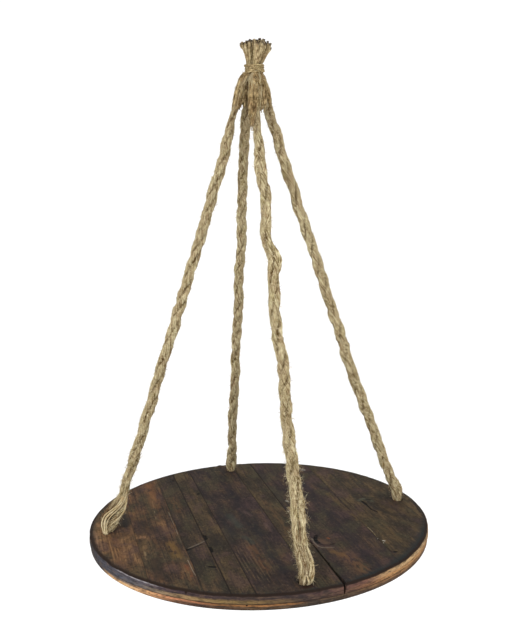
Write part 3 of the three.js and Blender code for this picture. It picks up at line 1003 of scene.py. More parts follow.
@dataclass
class HungRope:
    """One rope, from the throat down a leg, under the board and up the opposite leg.

    A slack stretch is where its lay opens up, and to what share of its turns; a soiled stretch, darkened for
    dirt and as painted shade between the loose yarns at the rope's foot, is its middle, its reach and how
    dark it is. Both are in metres along the rope.
    """

    name: str
    sides: tuple[Side, Side]
    layer: int
    lay: float = 0.112
    yarn_lay: float = 0.052
    step: float = 0.0027
    phase: float = 0.0
    slack: tuple[tuple[float, float, float], ...] = ()
    soiled: tuple[tuple[float, float, float], ...] = ()
    line: Line = field(init=False)

    def __post_init__(self) -> None:
        """Runs the route."""
        first, second = self.sides
        self.line = Line.through([*self.descend(first), *reversed(self.descend(second))], self.step)

    def descend(self, side: Side) -> list[tuple[np.ndarray, float]]:
        """Runs one leg from the middle of the throat to the crossing under the board.

        Args:
            side: Which leg.

        Returns:
            Points in metres, each with the rope's radius in millimetres.
        """
        leg, half = LEGS[side], ROPE_DIAMETER / 2
        levels = (0.0, WINDING_HALF_HEIGHT / 2, WINDING_HALF_HEIGHT)
        run = [(leg.beside_axis(THROAT_REACH, -level), THROAT_ROPE_RADIUS) for level in levels]
        for drop, reach, drift in NECK_RUN:
            run.append((leg.beside_axis(reach, -drop, drift), half * leg.girth_at(drop / BOARD.drop)))
        mouth = leg.over_board(0.0)
        for share, drift in leg.route:
            run.append((mouth * share + np.array([drift * MM, 0, 0]), half * leg.girth_at(share)))
        for share, girth in ENTRY_SHARES:
            slump = np.array([leg.slump * min(share, 1.0) * MM, 0, 0])
            run.append((leg.over_board(share * ROPE_DIAMETER) + slump, half * girth))
        return run + self.tuck(leg)

    def tuck(self, leg: Leg) -> list[tuple[np.ndarray, float]]:
        """Bends one leg under the board and on to just short of the crossing.

        Args:
            leg: The leg.

        Returns:
            Points in metres, each with the rope's radius in millimetres.
        """
        half, target = ROPE_DIAMETER / 2, crossing()
        drop = self.layer * (ROPE_DIAMETER + TOUCH_GAP)
        span = float(np.linalg.norm(target - leg.hole()))
        dip = math.atan2(drop, span - TUCK_BEND - half)
        run = []
        for turn in np.linspace(0, math.pi / 2 - dip, 5):
            inward, height = TUCK_BEND * (1 - math.cos(turn)), TUCK_TOP - TUCK_BEND * math.sin(turn)
            run.append((leg.over_board(height, inward, target), half * TUCK_GIRTH))
        low = -BOARD_THICKNESS - TOUCH_GAP - half - drop
        run.append((leg.over_board(low, span - half, target), half))
        return run

    def near_end(self) -> np.ndarray:
        """Gives how far along the rope each point is from the nearer end."""
        along = self.line.along()
        return np.minimum(along, along[-1] - along)

    def turns(self, full: float) -> np.ndarray:
        """Sums a turning rate that fades out towards both ends, in the throat.

        Args:
            full: Metres for one turn in the open rope.

        Returns:
            The angle at each point.
        """
        along = self.line.along()
        rate = FULL_TURN / full * (0.12 + 0.88 * soft_step(self.near_end(), 0.03, 0.085))
        rate *= 1 + 0.45 * smooth_noise(along / 0.045, 0 * along + self.layer, 7)
        for start, end, share in self.slack:
            open_part = soft_step(along, start, start + 0.04) * (1 - soft_step(along, end - 0.01, end))
            rate *= 1 - (1 - share) * open_part
        return self.phase + np.concatenate([[0], np.cumsum((rate[1:] + rate[:-1]) / 2 * np.diff(along))])

    def soil(self) -> np.ndarray:
        """Gives how dark the rope is painted at each point, for dirt and for shade: where it goes into its
        holes, near the throat, and in its soiled stretches.
        """
        near = self.near_end()
        # Darker where the rope goes into its hole and near the throat.
        total = 0.7 * hump(near, HOLE_ALONG, 0.018) + 0.4 * (1 - soft_step(near, 0.06, 0.12))
        for place, reach, share in self.soiled:
            total += share * hump(self.line.along(), place, reach)
        return total

    def hair(self) -> np.ndarray:
        """Gives how hairy the rope is at each point: most where it comes down to its front or left hole."""
        along = self.line.along()
        worn = soft_step(along, 0.42, 0.66) * (1 - soft_step(along, 0.72, 0.76))
        return (0.8 + 1.6 * worn) * (1 - 0.8 * soft_step(self.near_end(), 0.742, 0.75))

    def build(self, shop: Workshop) -> None:
        """Args:
            shop: The trees and finishes.
        """
        spine = self.line.spine(
            turn=self.turns(self.lay), twist=-self.turns(self.yarn_lay), hairy=self.hair(), soil=self.soil(),
        )
        rope = shop.cord.serve(spine, self.name, {
            "Strands": 3, "Core share": 0.46, "Strand share": 0.56, "Yarns": 11, "Corners": 3,
            "Yarn depth": 0.17, "Slub": 0.62, "Rough": 0.4, "Seed": 3.0 + 11 * self.layer,
            "Finish": shop.jute,
        })
        fibres = [
            kind.grow(rope, 5 + self.layer + 7 * number, shop, kind is SHADED)
            for number, kind in enumerate((STANDING, LYING, SHADED))
        ]
        hang(rope, *fibres)
        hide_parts("rope_" + ("front_back", "left_right")[self.layer])
        float(self.line.along()[-1])


@dataclass
class Crown:
    """The opened ends of the four legs above the binding."""

    yarns: int = 24
    widening: float = 1.12
    lean: float = 0.1
    step: float = YARN_STEP

    def line(self, leg: Leg) -> Line:
        """Runs the spine of one end from the middle of the throat to its trimmed top."""
        run = [(leg.beside_axis(THROAT_REACH, z), THROAT_ROPE_RADIUS) for z in (0.0, WINDING_HALF_HEIGHT)]
        top = (leg.end_rise, CROWN_TOP[0], CROWN_TOP[1] * self.widening)
        for rise, reach, radius in (*CROWN_RUN, top):
            run.append((leg.beside_axis(reach, rise, rise * self.lean), radius))
        return Line.through(run, self.step)

    def build(self, shop: Workshop) -> None:
        """Opens each end into yarns that run from the binding up into the crown.

        Args:
            shop: The trees and finishes.
        """
        for number, (side, leg) in enumerate(LEGS.items()):
            line = self.line(leg)
            spine = line.spine(turn=0.5 * np.linspace(0, 1, len(line.points)) + number, hairy=1.0)
            piece = shop.bundle.serve(spine, f"yarns_{side.value}", {
                "Yarns": self.yarns, "Yarn share": 0.2, "Hollow": 0.0, "Wander": 0.4, "Curl": 1.6,
                "Trim": 0.16, "Corners": 7, "Seed": 4 + number, "Finish": shop.ends,
            })
            for part in (piece, WISPS.grow(piece, 40 + number, shop)):
                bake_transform(part)
                report(part)
            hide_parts(f"rope_end_{side.value}")


@dataclass(frozen=True)
class Tuft:
    """Yarns that lie across the legs below the binding, or fill the gap between two of them.

    Each place is how far it is to the right, to the front and below the throat's middle, with the
    tuft's radius.
    """

    name: str
    yarns: int
    wander: float
    places: tuple[tuple[float, float, float, float], ...]

    def line(self) -> Line:
        """Runs the tuft's middle line."""
        run = [(np.array([right, -front, -below]) * MM, size) for right, front, below, size in self.places]
        return Line.through(run, YARN_STEP)


TUFTS = (
    Tuft("loose_tuft", 16, 0.4, (
        (-0.5, 8.0, 2.0, 4.2), (-0.6, 11.0, 9.0, 5.0), (-1.2, 16.0, 20.0, 6.6), (-1.6, 22.0, 36.0, 8.0),
        (-2.0, 27.0, 54.0, 7.2), (-3.2, 32.0, 72.0, 4.2), (-4.4, 35.0, 86.0, 2.2),
    )),
    Tuft("web_left", 18, 0.5, (
        (-9.0, 3.0, 8.0, 4.0), (-13.5, 3.0, 22.0, 6.6), (-17.5, 3.0, 38.0, 8.0), (-19.5, 3.0, 50.0, 6.8),
        (-20.5, 3.0, 59.0, 4.2),
    )),
    Tuft("web_right", 18, 0.5, (
        (8.0, 3.0, 8.0, 4.0), (10.5, 6.0, 24.0, 6.4), (11.0, 9.0, 40.0, 7.4), (11.0, 11.0, 54.0, 6.4),
        (11.0, 12.0, 64.0, 3.6),
    )),
    Tuft("web_back", 12, 0.45, (
        (-5.0, 2.0, 40.0, 5.0), (-5.0, 2.0, 62.0, 5.0), (-4.0, 2.0, 78.0, 3.6), (-3.0, 2.0, 90.0, 2.6),
    )),
)


@dataclass
class Neck:
    """Yarns that have come loose from the legs below the binding: round each leg, and in tufts."""

    yarns: int = 18
    points: int = 7
    wander: float = 0.34
    swell: float = 1.05

    def lay(self, line: Line, tuft: Tuft, seed: int, shop: Workshop) -> None:
        """Lays a bundle of yarns along a line below the binding, with wisps on it.

        Args:
            line: The bundle's middle line.
            tuft: Its name, how many yarns it has and how far they wander.
            seed: Which pattern.
            shop: The trees and finishes.
        """
        spine = line.spine(turn=seed - 0.5 * np.linspace(0, 1, len(line.points)), hairy=1.0)
        piece = shop.bundle.serve(spine, tuft.name, {
            "Yarns": tuft.yarns, "Yarn share": 0.19, "Hollow": 0.6, "Wander": tuft.wander, "Curl": 0.5,
            "Trim": 0.22, "Corners": 7, "Seed": seed, "Finish": shop.loose,
        })
        hang(piece, WISPS.grow(piece, seed, shop))

    def build(self, ropes: Sequence[HungRope], shop: Workshop) -> None:
        """Lays the loose yarns along each leg of each rope, and the tufts.

        Args:
            ropes: The two ropes.
            shop: The trees and finishes.
        """
        bundles = []
        for rope in ropes:
            for side in rope.sides:
                run = [(point, radius * self.swell) for point, radius in rope.descend(side)[:self.points]]
                sheath = Tuft(f"loose_yarns_{side.value}", self.yarns, self.wander, ())
                bundles.append((Line.through(run, YARN_STEP), sheath))
        bundles += [(tuft.line(), tuft) for tuft in TUFTS]
        for seed, (line, tuft) in enumerate(bundles, 20):
            self.lay(line, tuft, seed, shop)


@dataclass(frozen=True)
class StrayStrand:
    """One strand that stands off a leg of rope for a short way and comes back to it.

    It runs between two places along the leg, in metres from the throat, and stands off it by millimetres
    to the right and to the front.
    """

    side: Side
    start: float
    end: float
    right: float
    front: float
    radius: float
    yarns: int = 5

    def line(self, leg: Line) -> Line:
        """Runs the strand beside the leg's own line."""
        off = np.sin(np.linspace(0, math.pi, 12)) ** 0.8
        points = leg.at(np.linspace(self.start, self.end, 12))
        points += off[:, None] * np.array([self.right, -self.front, 0]) * MM
        return Line.through(list(zip(points, self.radius * (0.6 + 0.4 * off))), 0.002)

    def build(self, number: int, leg: Line, shop: Workshop) -> None:
        """Lays the strand.

        Args:
            number: Its number in the table.
            leg: The leg's own line.
            shop: The trees and finishes.
        """
        line = self.line(leg)
        # Darker where the strand reaches its hole: dirt and painted shade.
        soil = 0.6 * hump(np.linspace(self.start, self.end, len(line.points)), 0.742, 0.014)
        piece = shop.strand(
            line, f"stray_strand_{number}", 0.07, shop.jute,
            yarns=self.yarns, yarn_depth=0.16, slub=0.6, rough=0.55, seed=60.0 + number, soil=soil, hairy=1.2,
        )
        hang(piece, LYING.grow(piece, 70 + number, shop))


@dataclass(frozen=True)
class SlackYarn:
    """A yarn that comes out of a leg near its foot, hangs slack and goes down the leg's hole.

    It leaves the leg at a distance in metres from the throat. Its places are across the grain, along it and
    above the board, in millimetres, with shares of its radius.
    """

    side: Side
    start: float
    radius: float
    places: tuple[tuple[float, float, float, float], ...]
    yarns: int = 3
    # How dark it is painted all along, for dirt and for shade among the other yarns.
    soiled: float = 0.0

    def line(self, leg: Line) -> Line:
        """Runs the yarn from inside the leg, through its places, to inside the hole."""
        inside = leg.at(np.array([self.start - 0.02, self.start]))
        shown = BOARD.place(np.array(self.places)[:, :3])
        hole = BOARD.place(np.array([*LEGS[self.side].hole(), -6.0]))
        shares = np.array([0.8, 0.9, *(share for *_, share in self.places), 0.8])
        return Line.through(list(zip([*inside, *shown, *hole], self.radius * shares)), 0.0015)

    def build(self, number: int, leg: Line, shop: Workshop) -> None:
        """Lays the yarn, with fibres on it where it is thick enough.

        Args:
            number: Its number in the table.
            leg: The leg's own line.
            shop: The trees and finishes.
        """
        line, thin = self.line(leg), self.radius < 1.5
        along = line.along()
        # Darker by its soiled share and over its last 16 mm into the hole: dirt and painted shade.
        soil = self.soiled + 0.7 * soft_step(along, along[-1] - 0.016, along[-1])
        piece = shop.strand(
            line, f"slack_yarn_{number}", 0.05, shop.pale if thin and not self.soiled else shop.jute,
            yarns=self.yarns, yarn_depth=0.18, slub=0.5, rough=0.4, seed=90.0 + number, soil=soil, hairy=1.0,
        )
        for part in [piece] if thin else [piece, LYING.grow(piece, 90 + number, shop)]:
            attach(part, "hung_shelf")
            report(part)


SLACK_YARNS = (
    SlackYarn(Side.LEFT, 0.66, 1.05, (
        (-216.8, 11.5, 44.3, 1), (-229.7, 13.2, 32.9, 1), (-240.1, 11.7, 25.8, 1), (-244.6, 8.8, 17.1, 1.1),
        (-244.7, 4.7, 9.0, 1), (-242.2, 1.4, 1.6, 1), (-237.0, 14.0, 1.6, 1),
    )),
    SlackYarn(Side.LEFT, 0.664, 1.4, (
        (-213.9, 10.5, 44.6, 1), (-226.1, 11.2, 32.4, 1), (-235.3, 9.5, 26.1, 1), (-240.4, 6.7, 19.0, 1.1),
        (-241.4, 3.8, 9.8, 1), (-240.9, -1.0, 1.6, 1), (-236.0, 13.0, 1.6, 1),
    )),
    SlackYarn(Side.LEFT, 0.66, 0.85, (
        (-211.7, 10.2, 43.0, 1), (-221.7, 9.1, 32.6, 1), (-230.9, 7.3, 25.6, 1), (-236.7, 6.7, 17.7, 1.1),
        (-238.7, 4.2, 9.3, 1), (-238.7, -1.3, 1.6, 1), (-235.0, 13.0, 1.6, 1),
    )),
    SlackYarn(Side.LEFT, 0.662, 3.4, (
        (-207.8, 14.5, 41.3, 0.8), (-214.5, 12.8, 31.3, 0.9), (-222.9, 11.1, 22.5, 1),
        (-229.3, 11.9, 15.0, 1.1), (-233.9, 9.7, 9.0, 1), (-235.6, 6.6, 3.0, 0.8),
    ), 7, 0.4),
    SlackYarn(Side.LEFT, 0.65, 1.3, (
        (-206.3, 11.5, 42.1, 1), (-210.3, 9.3, 31.2, 1), (-218.9, 7.3, 21.7, 1), (-228.8, 8.8, 13.4, 1.1),
        (-234.5, 8.2, 7.1, 1), (-234.3, 7.7, 3.5, 1), (-234.0, 16.0, 1.0, 1),
    )),
    SlackYarn(Side.LEFT, 0.7, 4.4, (
        (-213.7, 15.3, 27.7, 0.6), (-221.2, 15.1, 16.5, 0.9), (-227.0, 14.0, 8.5, 1.1),
        (-231.5, 10.5, 4.6, 0.9), (-234.0, 16.0, 2.0, 0.7),
    ), 7, 0.3),
    SlackYarn(Side.LEFT, 0.7, 3.0, (
        (-226.0, 17.0, 20.0, 0.6), (-234.0, 14.0, 12.0, 0.8), (-238.6, 7.5, 6.0, 1),
        (-239.6, 1.8, 2.8, 0.9), (-237.0, 14.0, 2.0, 0.7),
    ), 5),
    SlackYarn(Side.FRONT, 0.69, 2.1, (
        (10.0, -237.0, 33.4, 0.9), (6.0, -241.4, 22.1, 1), (1.9, -243.6, 11.5, 1), (0.7, -244.8, 2.6, 0.9),
    ), 5, 0.7),
    SlackYarn(Side.FRONT, 0.7, 1.1, (
        (1.5, -245.2, 19.8, 1), (-0.7, -247.6, 11.3, 1), (-2.5, -247.2, 2.3, 1),
    )),
    SlackYarn(Side.FRONT, 0.704, 1.2, (
        (0.9, -245.3, 19.2, 1), (2.4, -248.4, 11.3, 1), (4.2, -248.5, 3.3, 1),
    )),
    SlackYarn(Side.FRONT, 0.66, 1.9, (
        (9.3, -233.2, 40.8, 0.8), (11.7, -239.3, 31.0, 1), (11.9, -244.2, 19.9, 1), (10.4, -246.8, 11.1, 1),
        (7.3, -247.5, 3.9, 0.9),
    ), 4, 0.1),
    SlackYarn(Side.FRONT, 0.64, 0.9, (
        (0.7, -222.6, 77.0, 0.8), (-0.1, -226.8, 70.3, 1.2), (-0.9, -229.1, 63.0, 1),
        (-0.5, -230.0, 54.8, 0.6),
    ), 3, 1.4),
)

STRAYS = (
    StrayStrand(Side.FRONT, 0.258, 0.316, 9.0, 2.0, 3.5),
    StrayStrand(Side.FRONT, 0.118, 0.182, -5.2, 3.0, 3.8),
    StrayStrand(Side.FRONT, 0.135, 0.172, 4.8, 3.0, 3.4),
    StrayStrand(Side.FRONT, 0.19, 0.25, 3.4, 4.0, 3.4),
    StrayStrand(Side.FRONT, 0.62, 0.69, -4.0, 6.4, 3.0),
    StrayStrand(Side.FRONT, 0.625, 0.7, 4.6, 6.0, 3.0),
    StrayStrand(Side.FRONT, 0.672, 0.742, -4.0, 7.0, 2.8, 4),
    StrayStrand(Side.FRONT, 0.676, 0.742, 6.4, 4.6, 3.0, 4),
    StrayStrand(Side.LEFT, 0.645, 0.734, 7.0, 7.0, 1.5, 4),
    StrayStrand(Side.RIGHT, 0.64, 0.7, -5.0, 5.0, 3.0),
)


@dataclass
class Binding:
    """The thin twine wound round the throat, with one turn crossing the others at the front."""

    radius: float = 1.4
    reach: float = 13.1
    step: float = 0.0012
    course: tuple[tuple[float, float, float], ...] = (
        (70, -4.9, -3.0), (90, -5.2, 0), (225, -5.6, 0), (270, -5.3, 0), (315, -4.9, 0), (450, -3.2, 0),
        (585, -3.1, 0), (630, -2.6, 0), (675, -2.0, 0), (810, -0.4, 0), (945, -0.2, 0), (990, 0.3, 0),
        (1035, 0.9, 0), (1170, 2.6, 0), (1215, 3.4, 0.8), (1290, 4.2, 1.6), (1330, 2.4, 2.2),
        (1350, 0.0, 2.4), (1370, -2.6, 2.3), (1400, -4.4, 1.8), (1440, -4.0, 0.8), (1530, 0.6, 0),
        (1620, 3.0, 0), (1665, 3.0, 0), (1710, 3.3, 0), (1755, 4.0, 0), (1890, 5.2, 0), (1930, 5.0, -2.6),
    )

    def line(self) -> Line:
        """Runs the twine's spine round the throat.

        Returns:
            The spine, with the same radius all along.
        """
        degrees, heights, lifts = np.array(self.course, float).T
        fine = np.arange(degrees[0], degrees[-1] + 1, 6.0)
        reach = self.reach + np.interp(fine, degrees, lifts)
        height = np.interp(fine, degrees, heights)
        height = np.convolve(np.pad(height, 2, mode="edge"), np.ones(5) / 5, mode="valid")
        turn = np.radians(fine)
        points = np.column_stack([reach * np.cos(turn), reach * np.sin(turn), height]) * MM
        return Line.through([(point, self.radius) for point in points], self.step)

    def build(self, shop: Workshop) -> None:
        """Lays the twine's three plies along its line.

        Args:
            shop: The trees and finishes.
        """
        line = self.line()
        turns = line.along() * FULL_TURN
        piece = shop.cord.serve(line.spine(turn=turns / 0.016, twist=-turns / 0.012), "twine", {
            "Strands": 3, "Core share": 0.48, "Strand share": 0.54, "Yarns": 4, "Corners": 3,
            "Yarn depth": 0.14, "Slub": 0.45, "Rough": 0.3, "Seed": 40.0, "Finish": shop.twine,
        })
        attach(piece, "binding")
        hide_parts("binding_twine")
        report(piece)


@dataclass(frozen=True)
class Mark:
    """One mark on a plank's face, from one point to another, with half its width, in millimetres."""

    across: float
    along: float
    across_end: float
    along_end: float
    width: float
    colour: Colour
    share: float = 0.8
    soft: float = 0.6
    broken: bool = False
    depth: float = 0.0


def trail(width: float, colour: Colour, *places: tuple[float, float], **looks: float) -> tuple[Mark, ...]:
    """Makes the marks that join a row of places across and along the grain.

    Args:
        width: Half the width, in millimetres.
        colour: The colour.
        places: The places in order.
        looks: The mark's other fields, by name.

    Returns:
        One mark for each stretch.
    """
    return tuple(Mark(*a, *b, width, colour, **looks) for a, b in zip(places, places[1:]))


@dataclass(frozen=True)
class RimBands:
    """The rim's colours round the board, from the right over the back, in shares of a full turn. The
    blue-grey stops near 0.58 to 0.65 of the corner and middle bands are painted highlight on the left bevel,
    the light tan near 0.86 to 0.9 of those bands is partly painted highlight, and the step colour is painted
    shade in the croze step and along the top edge.
    """

    # Blue-grey near 0.58 to 0.65 is painted highlight on the left bevel; light tan near 0.86 to 0.9 is partly
    # painted highlight.
    corner: tuple = (
        (0.0, (120, 96, 70)), (0.55, (42, 37, 38)), (0.58, (60, 60, 68)), (0.615, (68, 68, 77)),
        (0.65, (78, 73, 79)), (0.668, (66, 56, 62)), (0.69, (56, 45, 48)), (0.753, (60, 49, 45)),
        (0.785, (58, 47, 46)), (0.81, (80, 58, 54)), (0.842, (108, 76, 64)), (0.862, (170, 136, 98)),
        (0.9, (186, 154, 112)), (0.945, (150, 124, 92)),
    )
    # Blue-grey near 0.59 to 0.65 is painted highlight on the left rim; light tan near 0.87 to 0.9 is partly
    # painted highlight.
    middle: tuple = (
        (0.0, (136, 106, 72)), (0.55, (46, 42, 42)), (0.59, (60, 60, 68)), (0.62, (76, 78, 88)),
        (0.65, (94, 89, 89)), (0.668, (132, 112, 88)), (0.69, (140, 114, 80)), (0.72, (120, 98, 62)),
        (0.753, (108, 86, 54)), (0.785, (62, 51, 46)), (0.82, (82, 60, 52)), (0.845, (120, 84, 60)),
        (0.87, (168, 126, 82)), (0.9, (162, 122, 80)),
    )
    lower: tuple = (
        (0.0, (100, 80, 60)), (0.55, (52, 46, 46)), (0.6, (76, 74, 82)), (0.63, (118, 104, 94)),
        (0.652, (196, 150, 106)), (0.68, (194, 132, 96)), (0.7, (150, 100, 70)), (0.72, (112, 78, 48)),
        (0.75, (148, 102, 60)), (0.775, (132, 92, 56)), (0.79, (66, 54, 46)), (0.83, (84, 66, 50)),
        (0.87, (140, 102, 66)),
    )
    base: tuple = (
        (0.0, (72, 60, 48)), (0.55, (46, 42, 42)), (0.588, (64, 56, 52)), (0.602, (196, 154, 108)),
        (0.63, (212, 170, 124)), (0.655, (186, 140, 100)), (0.675, (120, 84, 62)), (0.7, (66, 49, 42)),
        (0.76, (72, 56, 40)), (0.79, (50, 43, 38)), (0.88, (84, 64, 48)),
    )
    # Dark brown: painted shade in the croze step and along the rim's top edge; it also darkens the bottom
    # edge and the nail holes.
    step: tuple = (34, 24, 19)
    # Pale grey on the left bevel: partly a scuff, partly painted highlight.
    scuff_and_highlight: tuple = (158, 153, 156)
    char: tuple = (32, 35, 35)
    nails: tuple = ((0.6906, -3.0, 2.4), (0.7402, -14.2, 1.8))


@dataclass(frozen=True)
class PlankFinish:
    """Dark weathered oak of one plank, with mottled stains, the rim's bands and the plank's own marks."""

    name: str
    tones: tuple
    seed: float
    low: float
    high: float
    seams: tuple[float, float] = (0.6, 0.6)
    marks: tuple[Mark, ...] = ()
    rim: RimBands = RimBands()
    seam: tuple = (22, 17, 15)
    olive: tuple = (54, 51, 37)
    plum: tuple = (64, 48, 47)
    pale: tuple = (110, 88, 68)

    STOPS = (0.39, 0.46, 0.525, 0.6)

    @staticmethod
    def stroke(surface: Surface, u: Value, v: Value, mark: Mark) -> Value:
        """Gives 1 on a mark and 0 beyond its width, with a soft edge."""
        run, rise = mark.across_end - mark.across, mark.along_end - mark.along
        du, dv = u - mark.across, v - mark.along
        share = ((du * run + dv * rise) / (run * run + rise * rise + 1e-6)).clipped()
        away = surface.length(surface.joined(du - share * run, dv - share * rise, 0.0))
        return away.rise(mark.width, mark.width * (1 - mark.soft))

    def build(self) -> Material:
        """Makes the material.

        Returns:
            The material of one plank, for its face, rim and underside.
        """
        surface = Surface(self.name)
        turn = BOARD.matrix().to_euler("XYZ")
        mapped = surface.node("ShaderNodeMapping", {"vector_type": "TEXTURE"}, {
            "Vector": surface.place(), "Location": (0.0, 0.0, -BOARD.drop * MM), "Rotation": tuple(turn),
            "Scale": (MM, MM, MM),
        }).outputs[0]
        u, v, height = surface.parts(mapped)
        seed, under = self.seed, height.rise(-17.0, -20.5)
        own = under * 40.0 + seed
        grain = surface.noise(surface.joined(u * 0.42, v * 0.011, height * 0.42 + seed), 1.0, 4.0, 0.65)
        fine = surface.noise(surface.joined(u * 1.7, v * 0.05, height * 1.7 + seed), 1.0, 3.0, 0.6)
        mottle = surface.noise(surface.joined(u * 0.05, v * 0.016, own), 1.0, 5.0, 0.65)
        cast = surface.noise(surface.joined(u * 0.03, v * 0.02, own + 5.0), 1.0, 3.0)
        stain = surface.noise(surface.joined(u * 0.035, v * 0.013, own + 9.0), 1.0, 4.0, 0.6)
        specks = surface.noise(surface.joined(u * 0.35, v * 0.12, seed), 1.0, 4.0, 0.7)
        grit = surface.noise(surface.joined(u * 0.3, v * 0.2, seed + 2.0), 1.0, 2.0, 0.6)
        face = surface.coats(
            surface.ramp(mottle * 0.6 + grain * 0.3 + fine * 0.1, list(zip(self.STOPS, self.tones))),
            (cast.rise(0.5, 0.62) * 0.55, self.olive),
            (cast.rise(0.47, 0.36) * 0.5, self.plum),
            (stain.rise(0.5, 0.63) * 0.6, self.tones[0]),
            (specks.rise(0.56, 0.76) * 0.26, self.pale),
            (grit.rise(0.54, 0.74) * 0.22, self.pale),
            (grit.rise(0.47, 0.3) * 0.5, self.seam),
            (grain.rise(0.44, 0.31) * 0.55, self.seam),
            *(((u - place).size().rise(1.3, 0.4) * share, self.seam)
              for place, share in zip((self.low, self.high), self.seams)),
        )
        worn = surface.noise(surface.joined(u * 0.25, v * 0.06, seed), 1.0, 2.0).rise(0.36, 0.55)
        height_map = grain * 0.5 + fine * 0.5
        for mark in self.marks:
            share = self.stroke(surface, u, v, mark) * (1.0 - under) * mark.share
            face = surface.mix(share * worn if mark.broken else share, face, mark.colour)
            if mark.depth:
                height_map = height_map - share * mark.depth
        colour = self.dress_rim(surface, (u, v, height), face, specks)
        surface.relief(height_map, 0.0009, 0.9)
        return surface.finish(colour, 0.72 + 0.25 * grain, 0.08)

    def dress_rim(
        self, surface: Surface, place: tuple[Value, Value, Value], face: Socket, specks: Value,
    ) -> Socket:
        """Colours the rim over the face's colour.

        Args:
            surface: The material's tree.
            place: The place across the grain, along it and up, in millimetres.
            face: The colour of the face.
            specks: Coarse noise of the face.

        Returns:
            The colour with the charred ring, the worn corner with its painted highlight, the rim's four
            bands, painted shade in the croze step and along the top edge, and a darker bottom edge.
        """
        u, v, height = place
        rim = self.rim
        turn = surface.math("ARCTAN2", v, u) / FULL_TURN + (1.0 + BOARD.grain_turn / FULL_TURN)
        around = surface.math("FRACT", turn)
        arc = around * (FULL_TURN * BOARD_RADIUS)
        drift = surface.noise(surface.joined(arc * 0.03, 3.0, 0.0), 1.0, 4.0, 0.65) - 0.5
        streak = surface.noise(surface.joined(arc * 0.04, height * 0.7, 7.0), 1.0, 4.0, 0.65)
        worn = surface.noise(surface.joined(arc * 0.16, height * 0.6, 11.0), 1.0, 3.0, 0.65)
        patchy = surface.noise(surface.joined(arc * 0.055, height * 0.2, 15.0), 1.0, 2.0)
        reach = surface.length(surface.joined(u, v, 0.0))
        level, top = height + drift * 4.0, height + drift * 3.0
        corner, middle, low, base = (
            surface.ramp(around, stops) for stops in (rim.corner, rim.middle, rim.lower, rim.base)
        )
        upper = surface.mix(level.rise(-5.6, -8.8), corner, middle)
        lower = surface.mix(level.rise(-15.4, -17.4), low, base)
        # Where the croze step runs, for its painted shadow.
        step = (height + 12.9 + drift).size().rise(1.3, 0.5)
        faded = streak.rise(0.55, 0.68) * 0.34 + worn.rise(0.54, 0.7) * 0.3 + patchy.rise(0.54, 0.7) * 0.3
        bands = surface.coats(
            surface.mix(height.rise(-12.4, -13.3), upper, lower),
            (streak.rise(0.52, 0.36) * 0.7, self.tones[0]),
            (patchy.rise(0.48, 0.34) * 0.5, rim.char),
            (worn.rise(0.49, 0.36) * 0.5, self.tones[0]),
            (faded.clipped(), self.pale),
            # Painted shadow in the croze step.
            (step * (0.5 + streak.rise(0.7, 0.45) * 0.4), rim.step),
            # Darker towards the bottom edge.
            (height.rise(-19.6, -21.6) * 0.7, rim.step),
        )
        rough_reach = reach + (specks - 0.5) * 10.0 + drift * 12.0
        charred = around.rise(0.78, 0.86) * around.rise(1.0, 0.95)
        ring = rough_reach.rise(255.0, 263.0) * 0.6 + rough_reach.rise(247.0, 257.0) * charred * 0.7
        outer = reach.rise(257.0, 261.5)
        # The pale scuff on the left bevel is partly painted highlight.
        scuffed_and_lit = (top + 2.8).size().rise(0.85, 0.25) * around.rise(0.606, 0.622) * around.rise(0.674, 0.65)
        colour = surface.coats(
            face,
            (ring.clipped(), rim.char),
            (top.rise(-1.2, -2.6) * outer, bands),
            # Painted shade: a dark line round the rim's top edge.
            ((top + 1.3).size().rise(1.8, 0.7) * outer * 0.9, rim.step),
            (scuffed_and_lit * (0.3 + worn.rise(0.42, 0.6) * 0.4), rim.scuff_and_highlight),
        )
        for share, depth, radius in rim.nails:
            away = surface.length(surface.joined(arc - share * FULL_TURN * BOARD_RADIUS, height - depth, 0.0))
            colour = surface.mix(away.rise(radius, radius * 0.5), colour, rim.step)
        return colour


